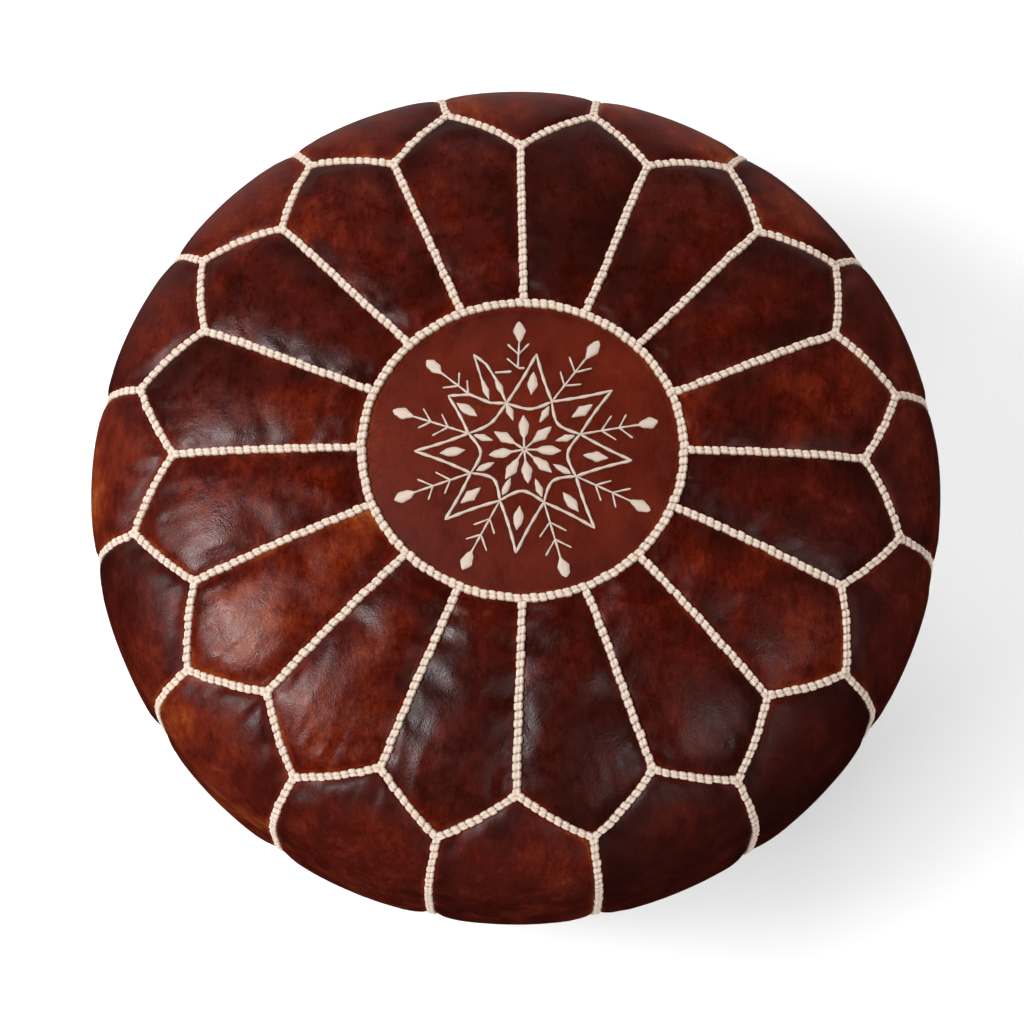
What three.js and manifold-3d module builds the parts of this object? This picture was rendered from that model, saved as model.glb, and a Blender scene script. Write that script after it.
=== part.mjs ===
// A round Moroccan floor pouf: a sewn leather cover with a cord braid laced over every seam, an
// embroidered medallion on the crown, a zipped base, and a cotton liner packed with wadding.
// Millimetres, +Z up. The origin is the middle of the underside and the zip runs along X.
import * as THREE from 'three';
import { mergeVertices } from 'three/addons/utils/BufferGeometryUtils.js';
import Module from 'manifold-3d';

// Overall shape
const DIAMETER = 520;
const EQUATOR_HEIGHT = 176;
const CROWN_RISE = 117;
const CROWN_SQUARENESS = 5;
const LOWER_ROUNDNESS = [1.55, 1.75];
const SIDE_PUFF = 6;
const PETAL_PUFF = 5;
const MEDALLION_PUFF = 2;

// Seam layout: a ring, radial seams out to the junctions, a zig-zag between junctions and tips
const PANEL_COUNT = 16;
const RING_RADIUS = 95;
const JUNCTION_RADIUS = 205;
const TIP_RADIUS = 231;
const BASE_RADIUS = 152;

// Leather, braid and thread
const LEATHER = 1.6;
const SEAM_GAP = 0.4;
const BRAID_WIDTH = 5;
const BRAID_HEIGHT = 3;
const BRAID_CLEARANCE = 0.6;
const BRAID_END_HEIGHT = 12;
const SEAM_STRIP = BRAID_WIDTH / 2 + 1.2;
const PIPING_RADIUS = 1.8;
const THREAD_WIDTH = 1.6;
const THREAD_HEIGHT = 0.8;
const THREAD_CLEARANCE = 0.5;

// Base groove and zip
const GROOVE_DEPTH = 9;
const GROOVE_FLAT = 19;
const GROOVE_WIDE = 46;
const GROOVE_LENGTH = 130;
const WINDOW_HALF_LENGTH = 121;
const WINDOW_HALF_WIDTH = 9;
const TAPE_HALF_LENGTH = 118;
const TAPE_WIDTH = 14;
const TAPE_THICKNESS = 0.6;
const COIL_WIDTH = 3.4;
const COIL_HEIGHT = 2.2;
const COIL_CLOSED_GAP = 0.2;
const COIL_SPREAD = 3.4;
const ZIP_GAP = 0.3;
const STOP_LENGTH = 3.5;
const SLIDER_X = 98;
const SLIDER_LENGTH = 15;
const SLIDER_WIDTH = 13;
const SLIDER_PLATE = 1.3;
const SLIDER_PLAY = 0.4;
const BRIDGE_LENGTH = 3;
const BRIDGE_WIDTH = 4;
const BRIDGE_X = 4.6;
const BAIL_LENGTH = 5.4;
const BAIL_WIDTH = 2.6;
const BAIL_DEPTH = 2.4;
const BAIL_WALL = 1.4;
const BAIL_FLOOR = 1.2;
const PULL_LENGTH = 30;
const PULL_WIDTH = 9;
const PULL_THICKNESS = 1.5;
const PULL_END_BAR = 0.75;
const PULL_NECK = [8, 12];
const PULL_CHAMFER = 3;
const PULL_EYE = [4.2, 4.6];

// Lining
const LINER_INSET = 9;
const LINER_THICKNESS = 0.8;
const FILLING_INSET = LINER_INSET + LINER_THICKNESS + 0.6;
const LINING_GROOVE_GAP = 6;
const FILLING_GROOVE_GAP = 8;
const BASE_SLACK = 6;
const LINING_SEGMENTS = 24;
const LINER_MOUTH_LENGTH = 200;
const LINER_MOUTH_WIDTH = 22;

const SEAM_RADIUS = DIAMETER / 2 - SIDE_PUFF;
const BASE_EDGE_RADIUS = BASE_RADIUS + PIPING_RADIUS + SEAM_GAP;
const BASE_DISC_RADIUS = BASE_RADIUS - PIPING_RADIUS - SEAM_GAP;
const BASE_END_X = BASE_DISC_RADIUS - 2;
const PANEL_ANGLE = (2 * Math.PI) / PANEL_COUNT;

const wasm = await Module();
wasm.setup();

const materials = {
  petal: new THREE.MeshStandardMaterial({ color: 0x4a170d, roughness: 0.38, metalness: 0 }),
  side: new THREE.MeshStandardMaterial({ color: 0x5a2010, roughness: 0.36, metalness: 0 }),
  medallion: new THREE.MeshStandardMaterial({ color: 0x5c1e10, roughness: 0.4, metalness: 0 }),
  base: new THREE.MeshStandardMaterial({ color: 0x43180e, roughness: 0.5, metalness: 0 }),
  braid: new THREE.MeshStandardMaterial({ color: 0xe2cdbb, roughness: 0.75, metalness: 0 }),
  thread: new THREE.MeshStandardMaterial({ color: 0xe6d3c3, roughness: 0.7, metalness: 0 }),
  tape: new THREE.MeshStandardMaterial({ color: 0x3a2016, roughness: 0.85, metalness: 0 }),
  brass: new THREE.MeshStandardMaterial({ color: 0xa98548, roughness: 0.35, metalness: 1 }),
  cotton: new THREE.MeshStandardMaterial({ color: 0xe8e2d4, roughness: 0.95, metalness: 0 }),
};

// ---------------------------------------------------------------- cover profile

// The cover's section at parameter t: 0 at the crown, 1 at the widest ring, 2 at the base seam.
function profilePoint(t) {
  if (t <= 1) {
    const angle = (Math.PI / 2) * (1 - (1 - t) ** 3);
    const rise = CROWN_RISE * Math.max(Math.cos(angle), 0) ** (2 / CROWN_SQUARENESS);
    return new THREE.Vector2(SEAM_RADIUS * Math.sin(angle), EQUATOR_HEIGHT + rise);
  }
  const [roundRadius, roundHeight] = LOWER_ROUNDNESS;
  const angle = (Math.PI / 2) * (t - 1);
  const out = Math.max(Math.cos(angle), 0) ** (2 / roundRadius);
  const down = Math.sin(angle) ** (2 / roundHeight);
  const radius = BASE_EDGE_RADIUS + (SEAM_RADIUS - BASE_EDGE_RADIUS) * out;
  return new THREE.Vector2(radius, EQUATOR_HEIGHT * (1 - down));
}

const PROFILE_STEPS = 400;
const profile = [];
let profileLength = 0;
for (let i = 0; i <= 2 * PROFILE_STEPS; i += 1) {
  const point = profilePoint(i / PROFILE_STEPS);
  if (i > 0) profileLength += point.distanceTo(profile[i - 1].point);
  profile.push({ point, length: profileLength });
}

// Radius, height and outward normal at a length measured along the section from the crown.
function sectionAt(length) {
  let upper = profile.findIndex((row) => row.length >= length);
  if (upper < 0) upper = profile.length - 1;
  upper = Math.max(upper, 1);
  const a = profile[upper - 1];
  const b = profile[upper];
  const share = (length - a.length) / (b.length - a.length);
  const point = a.point.clone().lerp(b.point, share);
  const along = b.point.clone().sub(a.point).normalize();
  return { radius: point.x, height: point.y, normalRadius: -along.y, normalHeight: along.x };
}

// Length along the section from the crown to a radius on the upper side.
function lengthAtRadius(radius) {
  const upper = profile.findIndex((row) => row.point.x >= radius);
  const a = profile[upper - 1];
  const b = profile[upper];
  return a.length + ((b.length - a.length) * (radius - a.point.x)) / (b.point.x - a.point.x);
}

const RING_LENGTH = lengthAtRadius(RING_RADIUS);
const JUNCTION_LENGTH = lengthAtRadius(JUNCTION_RADIUS);
const TIP_LENGTH = lengthAtRadius(TIP_RADIUS);

function coverNormal(length, angle) {
  const { normalRadius, normalHeight } = sectionAt(length);
  return new THREE.Vector3(
    normalRadius * Math.cos(angle), normalRadius * Math.sin(angle), normalHeight);
}

function coverPoint(length, angle, lift) {
  const { radius, height } = sectionAt(length);
  const point = new THREE.Vector3(radius * Math.cos(angle), radius * Math.sin(angle), height);
  return point.addScaledVector(coverNormal(length, angle), lift);
}

// Length of the zig-zag seam at an angle measured from a junction.
function zigzagLength(angle) {
  const turn = THREE.MathUtils.euclideanModulo(angle / PANEL_ANGLE, 1);
  const share = 1 - Math.abs(2 * turn - 1);
  return JUNCTION_LENGTH + (TIP_LENGTH - JUNCTION_LENGTH) * share;
}

// ---------------------------------------------------------------- mesh helpers

function indexedGeometry(points, triangles) {
  const geometry = new THREE.BufferGeometry();
  geometry.setAttribute('position', new THREE.Float32BufferAttribute(
    points.flatMap((point) => [point.x, point.y, point.z]), 3));
  geometry.setIndex(triangles.flat());
  geometry.computeVertexNormals();
  return geometry;
}

// A sheet of material between two equal grids of points, closed round its four edges.
function sheetGeometry(outer, inner) {
  const rows = outer.length;
  const columns = outer[0].length;
  const innerStart = rows * columns;
  const triangles = [];
  for (let j = 0; j < rows - 1; j += 1) {
    for (let i = 0; i < columns - 1; i += 1) {
      const [a, b] = [j * columns + i, (j + 1) * columns + i];
      const [c, d] = [b + 1, a + 1];
      triangles.push([a, b, c], [a, c, d]);
      triangles.push(
        [innerStart + a, innerStart + c, innerStart + b],
        [innerStart + a, innerStart + d, innerStart + c]);
    }
  }
  const edge = [];
  for (let j = 0; j < rows - 1; j += 1) edge.push(j * columns);
  for (let i = 0; i < columns - 1; i += 1) edge.push((rows - 1) * columns + i);
  for (let j = rows - 1; j > 0; j -= 1) edge.push(j * columns + columns - 1);
  for (let i = columns - 1; i > 0; i -= 1) edge.push(i);
  edge.forEach((from, k) => {
    const to = edge[(k + 1) % edge.length];
    triangles.push([to, from, innerStart + from], [to, innerStart + from, innerStart + to]);
  });
  return indexedGeometry([...outer.flat(), ...inner.flat()], triangles);
}

// A bar swept through stations of { point, normal }. The section is a list of [across, up]
// corners, anticlockwise seen along the path, and a closed path joins its last station to its first.
function sweepGeometry(stations, section, closed) {
  const count = stations.length;
  const points = [];
  stations.forEach(({ point, normal }, k) => {
    const before = stations[closed ? (k + count - 1) % count : Math.max(k - 1, 0)].point;
    const after = stations[closed ? (k + 1) % count : Math.min(k + 1, count - 1)].point;
    const arriving = point.clone().sub(before).normalize();
    const leaving = after.clone().sub(point).normalize();
    const along = arriving.clone().add(leaving).normalize();
    const cosine = Math.max(along.dot(arriving.lengthSq() > 0 ? arriving : leaving), 0.5);
    const across = new THREE.Vector3().crossVectors(along, normal).normalize();
    for (const [sideways, up] of section) {
      points.push(point.clone()
        .addScaledVector(across, sideways / cosine)
        .addScaledVector(normal, up));
    }
  });
  const size = section.length;
  const triangles = [];
  const spans = closed ? count : count - 1;
  for (let k = 0; k < spans; k += 1) {
    for (let m = 0; m < size; m += 1) {
      const a = k * size + m;
      const b = k * size + ((m + 1) % size);
      const c = ((k + 1) % count) * size + ((m + 1) % size);
      const d = ((k + 1) % count) * size + m;
      triangles.push([a, c, b], [a, d, c]);
    }
  }
  if (!closed) {
    const last = (count - 1) * size;
    for (let m = 1; m < size - 1; m += 1) {
      triangles.push([0, m, m + 1], [last, last + m + 1, last + m]);
    }
  }
  return indexedGeometry(points, triangles);
}

function toSolid(geometry) {
  let bare = geometry.clone();
  for (const name of ['normal', 'uv']) bare.deleteAttribute(name);
  bare = mergeVertices(bare, 1e-4);
  return new wasm.Manifold(new wasm.Mesh({
    numProp: 3,
    vertProperties: new Float32Array(bare.attributes.position.array),
    triVerts: new Uint32Array(bare.index.array),
  }));
}

function toGeometry(solid) {
  const { vertProperties, triVerts } = solid.getMesh();
  const geometry = new THREE.BufferGeometry();
  geometry.setAttribute('position', new THREE.BufferAttribute(vertProperties, 3));
  geometry.setIndex(new THREE.BufferAttribute(triVerts, 1));
  geometry.computeVertexNormals();
  return geometry;
}

function joined(geometries) {
  return toGeometry(geometries.map(toSolid).reduce((whole, part) => whole.add(part)));
}

function cut(geometry, tools) {
  const solid = tools.map(toSolid).reduce((rest, tool) => rest.subtract(tool), toSolid(geometry));
  return toGeometry(solid);
}

function latheAroundZ(points, segments) {
  return new THREE.LatheGeometry(points, segments).rotateX(Math.PI / 2);
}

function named(name, geometry, material) {
  const mesh = new THREE.Mesh(geometry, material);
  mesh.name = name;
  return mesh;
}

function numbered(stem, index) {
  return `${stem}_${String(index + 1).padStart(2, '0')}`;
}

// ---------------------------------------------------------------- leather panels

// Distances across a panel: a narrow level strip under the braid at each edge, then steps that
// are even, or shorter near the start when crowded is over 1.
function stripedStations(width, steps, farStrip = SEAM_STRIP, crowded = 1) {
  const inner = width - SEAM_STRIP - farStrip;
  const stations = [SEAM_GAP];
  for (let i = 0; i <= steps; i += 1) {
    stations.push(SEAM_STRIP + inner * (i / steps) ** crowded);
  }
  if (farStrip > 0) stations.push(width - SEAM_GAP);
  return stations;
}

// Share of the way across the puffed middle of a panel, 0 on each strip.
function puffShare(distance, width, farStrip = SEAM_STRIP) {
  const share = (distance - SEAM_STRIP) / (width - SEAM_STRIP - farStrip);
  return THREE.MathUtils.clamp(share, 0, 1);
}

function leatherPanel(grid) {
  const outer = grid.map((row) => row.map((p) => coverPoint(p.length, p.angle, p.puff)));
  const inner = grid.map((row) => row.map((p) => coverPoint(p.length, p.angle, p.puff - LEATHER)));
  return sheetGeometry(outer, inner);
}

// Row and column stations depend on each other where an edge slants, so a place is found in steps.
function settledPlace(angleGuess, lengthAt, acrossAt, startAngle) {
  let angle = angleGuess;
  let length = lengthAt(angle);
  for (let pass = 0; pass < 3; pass += 1) {
    const width = sectionAt(length).radius * PANEL_ANGLE;
    angle = startAngle + PANEL_ANGLE * (acrossAt(width) / width);
    length = lengthAt(angle);
  }
  const width = sectionAt(length).radius * PANEL_ANGLE;
  return { length, angle, acrossShare: puffShare(acrossAt(width), width) };
}

function archedAcross(share) {
  return Math.sin(Math.PI * share) ** 0.7;
}

const COLUMN_STEPS = 4;
const PETAL_ROW_STEPS = 3;
const SIDE_ROW_STEPS = 8;
const SHOULDER_CROWDING = 1.3;

// A grid of places with a strip at both sides, where place(row, column) gives each one.
function placeGrid(rows, place) {
  return Array.from({ length: rows }, (unusedRow, j) => (
    Array.from({ length: COLUMN_STEPS + 3 }, (unusedColumn, i) => place(j, i))));
}

// One petal between the radial seams at angles 0 and PANEL_ANGLE.
function petalGeometry() {
  const grid = placeGrid(PETAL_ROW_STEPS + 3, (j, i) => {
    const run = (angle) => zigzagLength(angle) - RING_LENGTH;
    const lengthAt = (angle) => RING_LENGTH + stripedStations(run(angle), PETAL_ROW_STEPS)[j];
    const acrossAt = (width) => stripedStations(width, COLUMN_STEPS)[i];
    const guess = (PANEL_ANGLE * i) / (COLUMN_STEPS + 2);
    const place = settledPlace(guess, lengthAt, acrossAt, 0);
    const alongShare = puffShare(place.length - RING_LENGTH, run(place.angle));
    const puff = PETAL_PUFF * archedAcross(place.acrossShare) * archedAcross(alongShare);
    return { ...place, puff };
  });
  return leatherPanel(grid);
}

// Lengths of the side panel's rows for a top edge that starts at the given length.
function sideRows(topLength) {
  const run = profileLength - topLength;
  const stations = stripedStations(run, SIDE_ROW_STEPS, 0, SHOULDER_CROWDING);
  return stations.map((distance) => topLength + distance);
}

// One side panel from the zig-zag to the base, centred on angle 0 with a junction above its middle.
function sideGeometry() {
  const grid = placeGrid(SIDE_ROW_STEPS + 2, (j, i) => {
    const lengthAt = (angle) => sideRows(zigzagLength(angle))[j];
    const acrossAt = (width) => stripedStations(width, COLUMN_STEPS)[i];
    const guess = PANEL_ANGLE * (i / (COLUMN_STEPS + 2) - 0.5);
    const place = settledPlace(guess, lengthAt, acrossAt, -PANEL_ANGLE / 2);
    const top = zigzagLength(place.angle);
    const downShare = puffShare(place.length - top, profileLength - top, 0);
    const archedDown = Math.max(Math.sin(Math.PI * downShare ** 0.6), 0) ** 0.8;
    return { ...place, puff: SIDE_PUFF * archedAcross(place.acrossShare) * archedDown };
  });
  return leatherPanel(grid);
}

// Lift of the medallion's face over the cover's section: a shallow dome inside its braid.
function medallionPuff(length) {
  const share = THREE.MathUtils.clamp(length / (RING_LENGTH - SEAM_STRIP), 0, 1);
  return MEDALLION_PUFF * (1 - share ** 2);
}

function medallionGeometry() {
  const face = [0, 45, RING_LENGTH - SEAM_STRIP, RING_LENGTH - SEAM_GAP];
  const corner = (length, drop) => {
    const point = coverPoint(length, 0, medallionPuff(length) - drop);
    return new THREE.Vector2(length === 0 ? 0 : point.x, point.z);
  };
  const under = face.map((length) => corner(length, LEATHER));
  const over = face.map((length) => corner(length, 0)).reverse();
  return latheAroundZ([...under, ...over], 2 * PANEL_COUNT);
}

// ---------------------------------------------------------------- braids and piping

// Flat underside and sloping shoulders, as laced cord lies.
function braidSection() {
  const half = BRAID_WIDTH / 2;
  const shoulder = half * 0.6;
  const roof = BRAID_CLEARANCE + BRAID_HEIGHT;
  return [[-half, BRAID_CLEARANCE], [half, BRAID_CLEARANCE], [shoulder, roof], [-shoulder, roof]];
}

function seamStation([length, angle]) {
  return { point: coverPoint(length, angle, 0), normal: coverNormal(length, angle) };
}

function braidAlong(route, closed) {
  return sweepGeometry(route.map(seamStation), braidSection(), closed);
}

// An upright braid follows the panels' own rows and stops before the cover turns under.
function uprightBraid(angle) {
  const stations = sideRows(TIP_LENGTH).map((length) => seamStation([length, angle]));
  const cutRow = stations.findIndex(({ point }) => point.z < BRAID_END_HEIGHT);
  const [above, below] = stations.slice(cutRow - 1, cutRow + 1);
  const share = (above.point.z - BRAID_END_HEIGHT) / (above.point.z - below.point.z);
  const end = {
    point: above.point.clone().lerp(below.point, share),
    normal: above.normal.clone().lerp(below.normal, share).normalize(),
  };
  return sweepGeometry([...stations.slice(0, cutRow), end], braidSection(), false);
}

function topBraidGeometry() {
  const ring = [];
  for (let i = 0; i < 2 * PANEL_COUNT; i += 1) ring.push([RING_LENGTH, (PANEL_ANGLE * i) / 2]);
  const pieces = [braidAlong(ring, true)];
  const reach = JUNCTION_LENGTH - RING_LENGTH - BRAID_WIDTH;
  const steps = 5;
  for (let k = 0; k < PANEL_COUNT; k += 1) {
    const spoke = [];
    for (let i = 0; i <= steps; i += 1) {
      spoke.push([RING_LENGTH + (reach * i) / steps, PANEL_ANGLE * k]);
    }
    pieces.push(braidAlong(spoke, false));
  }
  return joined(pieces);
}

function sideBraidGeometry() {
  const zigzag = [];
  const perPanel = 4;
  for (let i = 0; i < perPanel * PANEL_COUNT; i += 1) {
    const angle = (PANEL_ANGLE * i) / perPanel;
    zigzag.push([zigzagLength(angle), angle]);
  }
  const pieces = [braidAlong(zigzag, true)];
  for (let k = 0; k < PANEL_COUNT; k += 1) {
    pieces.push(uprightBraid(PANEL_ANGLE * (k + 0.5)));
  }
  return joined(pieces);
}

function basePipingGeometry() {
  const circle = new THREE.Shape().absarc(0, 0, PIPING_RADIUS, 0, 2 * Math.PI).getPoints(3);
  circle.pop();
  const section = circle.map((corner) => [corner.x, corner.y]);
  const stations = [];
  for (let i = 0; i < 2 * PANEL_COUNT; i += 1) {
    const angle = (PANEL_ANGLE * i) / 2;
    const point = new THREE.Vector3(
      BASE_RADIUS * Math.cos(angle), BASE_RADIUS * Math.sin(angle), PIPING_RADIUS + 0.2);
    stations.push({ point, normal: new THREE.Vector3(0, 0, 1) });
  }
  return sweepGeometry(stations, section, true);
}

// ---------------------------------------------------------------- embroidery

// Hand embroidery isn't quite even: [crossing, tip] angles in degrees of the eight star arms.
const STAR_ARMS = [
  [17, 37], [62, 83.5], [110, 143], [163, 182], [205, 225], [246, 267], [290, 310], [332, 354],
];
const CROSSING_RADIUS = 0.355 * RING_RADIUS;
const ARM_RADIUS = 0.67 * RING_RADIUS;
const SPRIG_RADIUS = 0.72 * RING_RADIUS;
const LEAF_LENGTH = 12;
const LEAF_WIDTH = 5;
const ROSETTE_RADIUS = 20;
const ROSETTE_ANGLES = [0, 44, 92, 145, 191, 238, 276, 318];

// A point just over the medallion at a place in its plane, with its outward normal. The crown is
// so flat there that a radius stands for a length along the section.
function onMedallion(place) {
  const radius = place.length();
  const angle = place.angle();
  const point = coverPoint(radius, angle, medallionPuff(radius) + THREAD_CLEARANCE);
  return { point, normal: coverNormal(radius, angle) };
}

function polar(radius, degrees) {
  const angle = THREE.MathUtils.degToRad(degrees);
  return new THREE.Vector2(radius * Math.cos(angle), radius * Math.sin(angle));
}

// A flat stitched line between two places on the medallion.
function threadLine(from, to) {
  const stations = [from, to].map(onMedallion);
  const half = THREAD_WIDTH / 2;
  const section = [[-half, 0], [half, 0], [half, THREAD_HEIGHT], [-half, THREAD_HEIGHT]];
  return sweepGeometry(stations, section, false);
}

// A leaf of satin stitch, pointed at both ends and widest in the middle.
function threadLeaf(from, to, width) {
  const middle = onMedallion(from.clone().lerp(to, 0.5));
  const [start, end] = [onMedallion(from).point, onMedallion(to).point];
  const along = end.clone().sub(start).normalize();
  const across = new THREE.Vector3().crossVectors(along, middle.normal).normalize();
  const rim = [
    start, middle.point.clone().addScaledVector(across, width / 2),
    end, middle.point.clone().addScaledVector(across, -width / 2),
  ];
  const top = rim.map((corner) => corner.clone().addScaledVector(middle.normal, THREAD_HEIGHT));
  const triangles = [[0, 3, 2], [0, 2, 1], [4, 5, 6], [4, 6, 7]];
  for (let i = 0; i < 4; i += 1) {
    const next = (i + 1) % 4;
    triangles.push([i, next, next + 4], [i, next + 4, i + 4]);
  }
  return indexedGeometry([...rim, ...top], triangles);
}

// The star's eight crossed arms, and a leafed sprig growing out of each crossing.
function starGeometry() {
  const pieces = [];
  STAR_ARMS.forEach(([crossing, tip], k) => {
    const [nextCrossing] = STAR_ARMS[(k + 1) % STAR_ARMS.length];
    for (const degrees of [crossing, nextCrossing]) {
      pieces.push(threadLine(polar(CROSSING_RADIUS, degrees), polar(ARM_RADIUS, tip)));
    }
    const leafStart = polar(SPRIG_RADIUS, crossing);
    const leafEnd = polar(SPRIG_RADIUS + LEAF_LENGTH, crossing);
    const stemEnd = leafStart.clone().lerp(leafEnd, 0.3);
    pieces.push(threadLine(polar(CROSSING_RADIUS, crossing), stemEnd));
    pieces.push(threadLeaf(leafStart, leafEnd, LEAF_WIDTH));
  });
  return joined(pieces);
}

// Eight leaves that meet at the middle of the medallion.
function rosetteGeometry() {
  const leaves = ROSETTE_ANGLES.map((degrees) => (
    threadLeaf(polar(-1, degrees), polar(ROSETTE_RADIUS, degrees), LEAF_WIDTH)));
  return joined(leaves);
}

// ---------------------------------------------------------------- base

function smooth(value, from, to) {
  return THREE.MathUtils.smoothstep(value, from, to);
}

// Height of the base leather over the floor: a groove along the zip keeps its hardware clear.
function baseLift(x, y) {
  const acrossShare = 1 - smooth(Math.abs(y), GROOVE_FLAT, GROOVE_WIDE);
  const alongShare = 1 - smooth(Math.abs(x), GROOVE_LENGTH, BASE_END_X);
  return GROOVE_DEPTH * acrossShare * alongShare;
}

// Distances of the base leather's rows from the seam or window it starts at. Columns too short
// for them near the ends of the zip have even rows.
const BASE_ROWS = [0, GROOVE_FLAT - WINDOW_HALF_WIDTH, 18, 27, GROOVE_WIDE - WINDOW_HALF_WIDTH];
const SHORT_COLUMN = 60;

function baseColumn(x) {
  const arc = Math.sqrt(BASE_DISC_RADIUS ** 2 - x ** 2);
  const start = Math.abs(x) <= WINDOW_HALF_LENGTH ? WINDOW_HALF_WIDTH : SEAM_GAP;
  const reach = arc - start;
  const last = BASE_ROWS.length;
  const evenRows = BASE_ROWS.map((unused, j) => (reach * j) / last);
  const distances = reach < SHORT_COLUMN ? evenRows : BASE_ROWS;
  return [...distances.map((distance) => start + distance), arc];
}

// The half of the base disc on the +Y side, with a window in its straight edge for the zip.
function basePanelGeometry() {
  const windowEnd = WINDOW_HALF_LENGTH + 4;
  const oneSide = [45, 90, WINDOW_HALF_LENGTH, windowEnd, 0.93 * BASE_END_X, BASE_END_X];
  const stations = [...oneSide.map((x) => -x).reverse(), 0, ...oneSide];
  const columns = stations.map(baseColumn);
  const layer = (thickness) => columns[0].map((unused, j) => (
    stations.map((x, i) => {
      const y = columns[i][j];
      return new THREE.Vector3(x, y, baseLift(x, y) + thickness);
    }).reverse()));
  return sheetGeometry(layer(LEATHER), layer(0));
}

// A prism that fills the base groove and stands clear of the base leather by a gap all over.
function groovePrism(gap) {
  const depth = GROOVE_DEPTH + gap;
  const foot = GROOVE_WIDE + gap;
  const shoulder = GROOVE_FLAT + gap + 8;
  const outline = new THREE.Shape([
    new THREE.Vector2(-foot, -1), new THREE.Vector2(foot, -1),
    new THREE.Vector2(shoulder, depth), new THREE.Vector2(-shoulder, depth),
  ]);
  const length = 2 * (BASE_DISC_RADIUS + gap);
  const prism = new THREE.ExtrudeGeometry(outline, { depth: length, bevelEnabled: false });
  return prism.translate(0, 0, -length / 2).rotateX(Math.PI / 2).rotateZ(Math.PI / 2);
}

// A closed body of revolution that follows the cover's section at an inset.
function insetBody(inset) {
  const rows = 11;
  const floor = inset - BASE_SLACK;
  const points = [new THREE.Vector2(0, floor)];
  for (let i = rows; i >= 0; i -= 1) {
    const { radius, height, normalRadius, normalHeight } = sectionAt((profileLength * i) / rows);
    const out = Math.max(radius - inset * normalRadius, 0);
    const up = Math.max(height - inset * normalHeight, floor);
    if (i === 0) points.push(new THREE.Vector2(0, up));
    else points.push(new THREE.Vector2(i === rows ? radius - inset : out, up));
  }
  return latheAroundZ(points, LINING_SEGMENTS);
}

// The cotton liner, open along a slit over the zip, where it is filled.
function linerGeometry() {
  const outside = toSolid(insetBody(LINER_INSET));
  const inside = toSolid(insetBody(LINER_INSET + LINER_THICKNESS));
  const shell = outside.subtract(toSolid(groovePrism(LINING_GROOVE_GAP)));
  const hollow = inside.subtract(toSolid(groovePrism(LINING_GROOVE_GAP + LINER_THICKNESS)));
  const mouthHeight = 2 * (GROOVE_DEPTH + LINING_GROOVE_GAP + 4 * LINER_THICKNESS);
  const mouth = new THREE.BoxGeometry(LINER_MOUTH_LENGTH, LINER_MOUTH_WIDTH, mouthHeight);
  return toGeometry(shell.subtract(hollow).subtract(toSolid(mouth)));
}

function fillingGeometry() {
  return cut(insetBody(FILLING_INSET), [groovePrism(FILLING_GROOVE_GAP)]);
}

// ---------------------------------------------------------------- zip

const LEATHER_TOP = GROOVE_DEPTH + LEATHER;
const TAPE_FLOOR = LEATHER_TOP + ZIP_GAP;
const COIL_TOP = TAPE_FLOOR - ZIP_GAP;
const COIL_FLOOR = COIL_TOP - COIL_HEIGHT;
const SPREAD_START = SLIDER_X - 5;
const SPREAD_END = SLIDER_X + 3;

function extrudedUp(outline, floor, depth) {
  const shape = new THREE.Shape(outline);
  const geometry = new THREE.ExtrudeGeometry(shape, { depth, bevelEnabled: false });
  return geometry.translate(0, 0, floor);
}

// Strip on the +Y side of the zip that parts round the slider's bridge.
function partedStrip(startX, endX, gap, width, floor, depth) {
  const route = [[startX, 0], [SPREAD_START, 0], [SPREAD_END, COIL_SPREAD], [endX, COIL_SPREAD]];
  const near = route.map(([x, spread]) => new THREE.Vector2(x, gap + spread));
  const far = route.map(([x, spread]) => new THREE.Vector2(x, gap + spread + width)).reverse();
  return extrudedUp([...near, ...far], floor, depth);
}

function tapeGeometry() {
  const gap = COIL_CLOSED_GAP + ZIP_GAP;
  const [start, end] = [-TAPE_HALF_LENGTH, TAPE_HALF_LENGTH];
  return partedStrip(start, end, gap, TAPE_WIDTH, TAPE_FLOOR, TAPE_THICKNESS);
}

const COIL_START = -TAPE_HALF_LENGTH + STOP_LENGTH + 2;
const COIL_END = SLIDER_X + SLIDER_LENGTH / 2 + 1;

function coilGeometry() {
  return partedStrip(COIL_START, COIL_END, COIL_CLOSED_GAP, COIL_WIDTH, COIL_FLOOR, COIL_HEIGHT);
}

function stopGeometry(width) {
  return new THREE.BoxGeometry(STOP_LENGTH, width, COIL_HEIGHT);
}

// Slider: a plate under the coils and one over the tapes, joined by a bridge between the coils,
// and a bail under the lower plate that holds the pull. Its own origin is on the pull's pin line.
const PIN_DROP = 1.35;
const PLATE_FLOOR = COIL_FLOOR - SLIDER_PLAY - SLIDER_PLATE;
const PIN_HEIGHT = PLATE_FLOOR - PIN_DROP;
const UPPER_PLATE_FLOOR = TAPE_FLOOR + TAPE_THICKNESS + SLIDER_PLAY;
const BITE = 0.5;

function box(sizeX, sizeY, lowZ, highZ, x = 0) {
  return new THREE.BoxGeometry(sizeX, sizeY, highZ - lowZ).translate(x, 0, (lowZ + highZ) / 2);
}

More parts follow.
